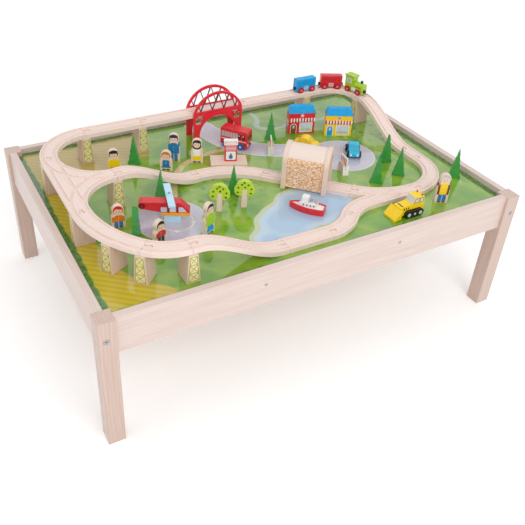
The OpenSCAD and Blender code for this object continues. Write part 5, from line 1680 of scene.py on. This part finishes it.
        prints = [
            ([(-31, 31), (-19, 31), (-19, 42.5), (-28.6, 42.5)], INK, 0.2),
            ([(-29.6, 32), (-20, 32), (-20, 41.5), (-27.6, 41.5)], GLASS, 0.3),
            ([(-16.6, 31), (-3.4, 31), (-6.2, 42.5), (-16.6, 42.5)], INK, 0.2),
            ([(-15.6, 32), (-4.8, 32), (-7, 41.5), (-15.6, 41.5)], GLASS, 0.3),
        ]
        for u in (8, 14, 20):
            prints.append(([(u, 19.5), (u + 2.6, 19.5), (u + 5, 25), (u + 2.4, 25)], INK, 0.2))
        shell = carved("digger_body", 0.8, rule, pose)
        for face, ahead in SIDES:
            shell.decals(face, half, prints, ahead)
        shell.decal(rounded(24, -9, 26.4, 9), 28.2, INK, Face.TOP, 0.4)
        for s in (-1, 1):
            shell.prism(disc(-26, s * 8.6, 1.8, 18), 45.5, 47.2, INK, Face.TOP)
            shell.prism(disc(-26, s * 8.6, 1.5, 18), 47, 50, RED, Face.TOP, 0.6)
        shell.finish("table", ["digger_body"], "yellow_paint")
        self.build_crawlers(pose)

    def build_crawlers(self, pose: Pose) -> None:
        """Makes the digger's two crawlers, with links round them and hubs."""
        shell = carved("digger_crawlers", 0.7, always(BLACK), steps=2)
        links, hubs = [], []
        r = self.crawler_height / 2
        flat = self.crawler_length - self.crawler_height
        bend = math.pi * r
        loop = 2 * (flat + bend)
        for face, ahead in SIDES:
            for i in range(self.crawler_links):
                d = loop * i / self.crawler_links
                over = d < flat + bend
                d = d if over else d - flat - bend
                a = max(0.0, (d - flat) / r)
                u = min(d, flat) - flat / 2 + r * math.sin(a)
                v = (r - 0.45) * math.cos(a)
                turn = -math.degrees(a)
                if not over:
                    u, v, turn = -u, -v, turn + 180
                links.append((spot_on(pose, Face.FRONT, u - 4, r + v, ahead * 16, turn), (2.4, 0.9, 8.3)))
            for u in (-16, 0, 16):
                wide = 9.0 if u else 6.0
                hubs.append((spot_on(pose, face, ahead * (u - 4), r, 20.0), (wide, wide, 1.0)))
        shell.repeat(Repeats("crawler links", Form.BAR, BLACK), links)
        shell.repeat(Repeats("crawler hubs", Form.DOT, HUB), hubs)
        shell.finish("table", ["digger_crawlers"], "black_plastic")

    def build_bus(self) -> None:
        """Makes the bus: windows all round, the side panes pale as a painted reflection and the cab windows
        with painted highlights, lights and blue wheels.
        """
        pose = self.bus
        shell = carved("bus_body", 1.0, always(RED), pose)
        half, side = self.bus_half, 16.0
        for face, ahead in SIDES:
            # Passenger windows: printed panes whose pale grey is a painted reflection.
            for i in range(6):
                u = ahead * (-31 + 7.8 * i)
                shell.decal(rounded(u - 3.3, 28, u + 3.3, 43, 1.2), side, SMOKE, face, 0.25)
            for u in (16, 27):
                shell.decal(rounded(ahead * u - 4, 27, ahead * u + 4, 42, 4.0), side, DUSK, face, 0.25)
                # White spot on each dark cab window: a painted highlight.
                shell.decal(disc(ahead * u - 1, 37.5, 1.5, 16), side, WHITE, face, 0.35)
            shell.decal(rounded(-35, 21.6, 35, 23.6, 0.6), side, WHITE, face, 0.2)
        shell.decal(rounded(-13, 25, 13, 39, 2.4), half, DUSK, Face.RIGHT, 0.25)
        shell.decal(rounded(-13, 28, 13, 42, 2.4), half, SMOKE, Face.LEFT, 0.25)
        for s in (-1, 1):
            shell.prism(disc(s * 10.4, 14, 3.2, 24), half - 0.4, half + 0.8, WHITE, Face.RIGHT, 0.4)
            shell.prism(disc(s * 10.4, 14, 2.4, 24), half - 0.4, half + 0.5, ORANGE, Face.LEFT, 0.3)
        shell.decal(rounded(-6, 10, 6, 17, 1), half, INK, Face.RIGHT, 0.2)
        shell.finish("table", ["bus_body"], "red_paint")
        wheels = WheelSet(9.0, 5.0, 16.5, tyre=BLUE_WHEEL, hub=HUB)
        wheels.pair("bus", pose, 0.55 * half, self.road_axle, "blue_wheels")

    def build_car(self, name: str, pose: Pose, paint: Paint, slot: str) -> None:
        """Makes a car: side windows, windscreens, lamps and black wheels.

        Args:
            name: What its CAD nodes' names start with.
            pose: Where it stands.
            paint: Finish of its body; its windows are printed in the deeper shade.
            slot: The record's material slot of its body.
        """
        glass = Paint(paint.name + ", window print", paint.shade, "", 0.2, 0.6)

        def rule(middle: Vector, normal: Vector) -> Finish:
            spot = pose.local(middle)
            sloping = abs(pose.ahead(normal)) > 0.42
            on_screen = 21.5 < spot.z < 31.2 and sloping and abs(spot.y) < 12.4
            return glass if on_screen else paint

        half = 13.0
        rear = [(-20, 20.5), (-4.2, 20.5), (-4.2, 30.6), (-11, 29.4), (-16.6, 25.8)]
        fore = [(-2.2, 20.5), (15.4, 20.5), (11.6, 25.6), (5, 29.8), (-2.2, 30.6)]
        panels = [(outline, glass, 0.25) for outline in (rear, fore)]
        shell = carved(f"{name}_body", 0.9, rule, pose)
        for face, ahead in SIDES:
            shell.decals(face, half, panels, ahead)
            shell.decal(rounded(-14, 15.6, 14, 16.6, 0.4), half, INK, face, 0.12)
        for s in (-1, 1):
            shell.prism(disc(s * 8.4, 13, 2.6, 22), 31.2, 32.6, WHITE, Face.RIGHT, 0.4)
            shell.prism(disc(s * 8.4, 13, 2.2, 22), 31.2, 32.4, ORANGE, Face.LEFT, 0.3)
        shell.finish("table", [f"{name}_body"], slot)
        wheels = WheelSet(9.0, 5.0, 13.5, tyre=BLACK, hub=HUB)
        wheels.pair(name, pose, self.car_axle, self.road_axle, "black_plastic")


# Stage


@dataclass
class Studio:
    """Pale floor, soft light and a camera at the photograph's angle."""

    azimuth: float = -29.979
    elevation: float = 34.662
    roll: float = 2.871
    place: tuple = (-736.24, -1231.75, 1137.12)
    focal: float = 680.50
    middle: tuple = (242.71, 230.29)
    frame_px: float = 525.0
    sensor: float = 36.0

    def build(self) -> None:
        """Sets the stage."""
        self.build_floor()
        self.build_light()
        self.build_camera()
        bpy.context.scene.view_settings.view_transform = "Standard"

    @staticmethod
    def seen(tree: Tree) -> Socket:
        """One where the camera sees a spot itself, in a shine or through glass, else zero."""
        path = add(tree, "ShaderNodeLightPath").outputs
        either = maths(tree, "MAXIMUM", path["Is Camera Ray"], path["Is Glossy Ray"])
        return maths(tree, "MAXIMUM", either, path["Is Transmission Ray"])

    def build_floor(self) -> None:
        """A wide white floor that keeps the soft shadow."""
        mesh = bpy.data.meshes.new("floor")
        reach = 14.0
        corners = [(-reach, -reach, 0), (reach, -reach, 0), (reach, reach, 0), (-reach, reach, 0)]
        mesh.from_pydata(corners, [], [(0, 1, 2, 3)])
        paper = bpy.data.materials.new("white studio paper")
        tree = emptied(paper)
        fibre = noise(tree, place_of(tree), 30.0, 3.0)
        range_of = {"Value": self.seen(tree), "To Min": 0.0, "To Max": 0.22}
        lift = add(tree, "ShaderNodeMapRange", range_of).outputs[0]
        shader = add(tree, "ShaderNodeBsdfPrincipled", {
            "Base Color": ramp(tree, fibre, ((0.2, "FBFBFB"), (0.8, "FFFFFF"))), "Roughness": 0.9,
            "Emission Color": (1.0, 1.0, 1.0, 1.0), "Emission Strength": lift,
        })
        add(tree, "ShaderNodeOutputMaterial", {"Surface": shader.outputs[0]})
        mesh.materials.append(paper)
        floor = stand("floor", mesh)

    def build_light(self) -> None:
        """An even white sky and two soft lamps, at the front and at the left, that no shine shows."""
        world = bpy.data.worlds.new("studio")
        bpy.context.scene.world = world
        tree = emptied(world)
        range_of = {"Value": self.seen(tree), "To Min": 0.76, "To Max": 1.0}
        level = add(tree, "ShaderNodeMapRange", range_of).outputs[0]
        sky = add(tree, "ShaderNodeBackground", {"Color": (1.0, 1.0, 1.0, 1.0), "Strength": level})
        add(tree, "ShaderNodeOutputWorld", {"Surface": sky.outputs[0]})
        lamps = (("front lamp", (-0.2, -2.6, 2.2), 1.8, 32.0), ("left lamp", (-2.6, -0.4, 2.2), 1.4, 5.0))
        for name, spot, size, power in lamps:
            lamp = bpy.data.lights.new(name, "AREA")
            lamp.size = size
            lamp.energy = power
            obj = stand(name, lamp)
            obj.location = spot
            obj.rotation_euler = (Vector((0, 0, 0.3)) - Vector(spot)).to_track_quat("-Z", "Y").to_euler()
            obj.visible_glossy = False

    def build_camera(self) -> None:
        """The camera that the photograph was solved to."""
        az, el, roll = (math.radians(a) for a in (self.azimuth, self.elevation, self.roll))
        back = Vector((math.sin(az) * math.cos(el), -math.cos(az) * math.cos(el), math.sin(el)))
        right = Vector((math.cos(az), math.sin(az), 0))
        up = back.cross(right)
        across = right * math.cos(roll) + up * math.sin(roll)
        rise = up * math.cos(roll) - right * math.sin(roll)
        camera = bpy.data.cameras.new("camera")
        camera.sensor_width = self.sensor
        camera.lens = self.sensor * self.focal / self.frame_px
        camera.shift_x = (self.frame_px / 2 - self.middle[0]) / self.frame_px
        camera.shift_y = (self.middle[1] - self.frame_px / 2) / self.frame_px
        camera.clip_start = 0.05
        obj = stand("camera", camera)
        turn = Matrix((across, rise, back)).transposed().to_4x4()
        obj.matrix_world = Matrix.Translation(Vector(self.place) * MM) @ turn
        bpy.context.scene.camera = obj


def main() -> None:
    """Builds every piece and the stage, and logs each group as it is done."""
    logging.basicConfig(level=logging.INFO, format="%(name)s: %(message)s")
    for group in (Table(), Board(), Railway(), Train(), Town(), Townsfolk(), Toys()):
        group.build()
        LOG.info("%s done", type(group).__name__)
    Studio().build()
    bpy.context.view_layer.update()


if __name__ == "__main__":
    main()
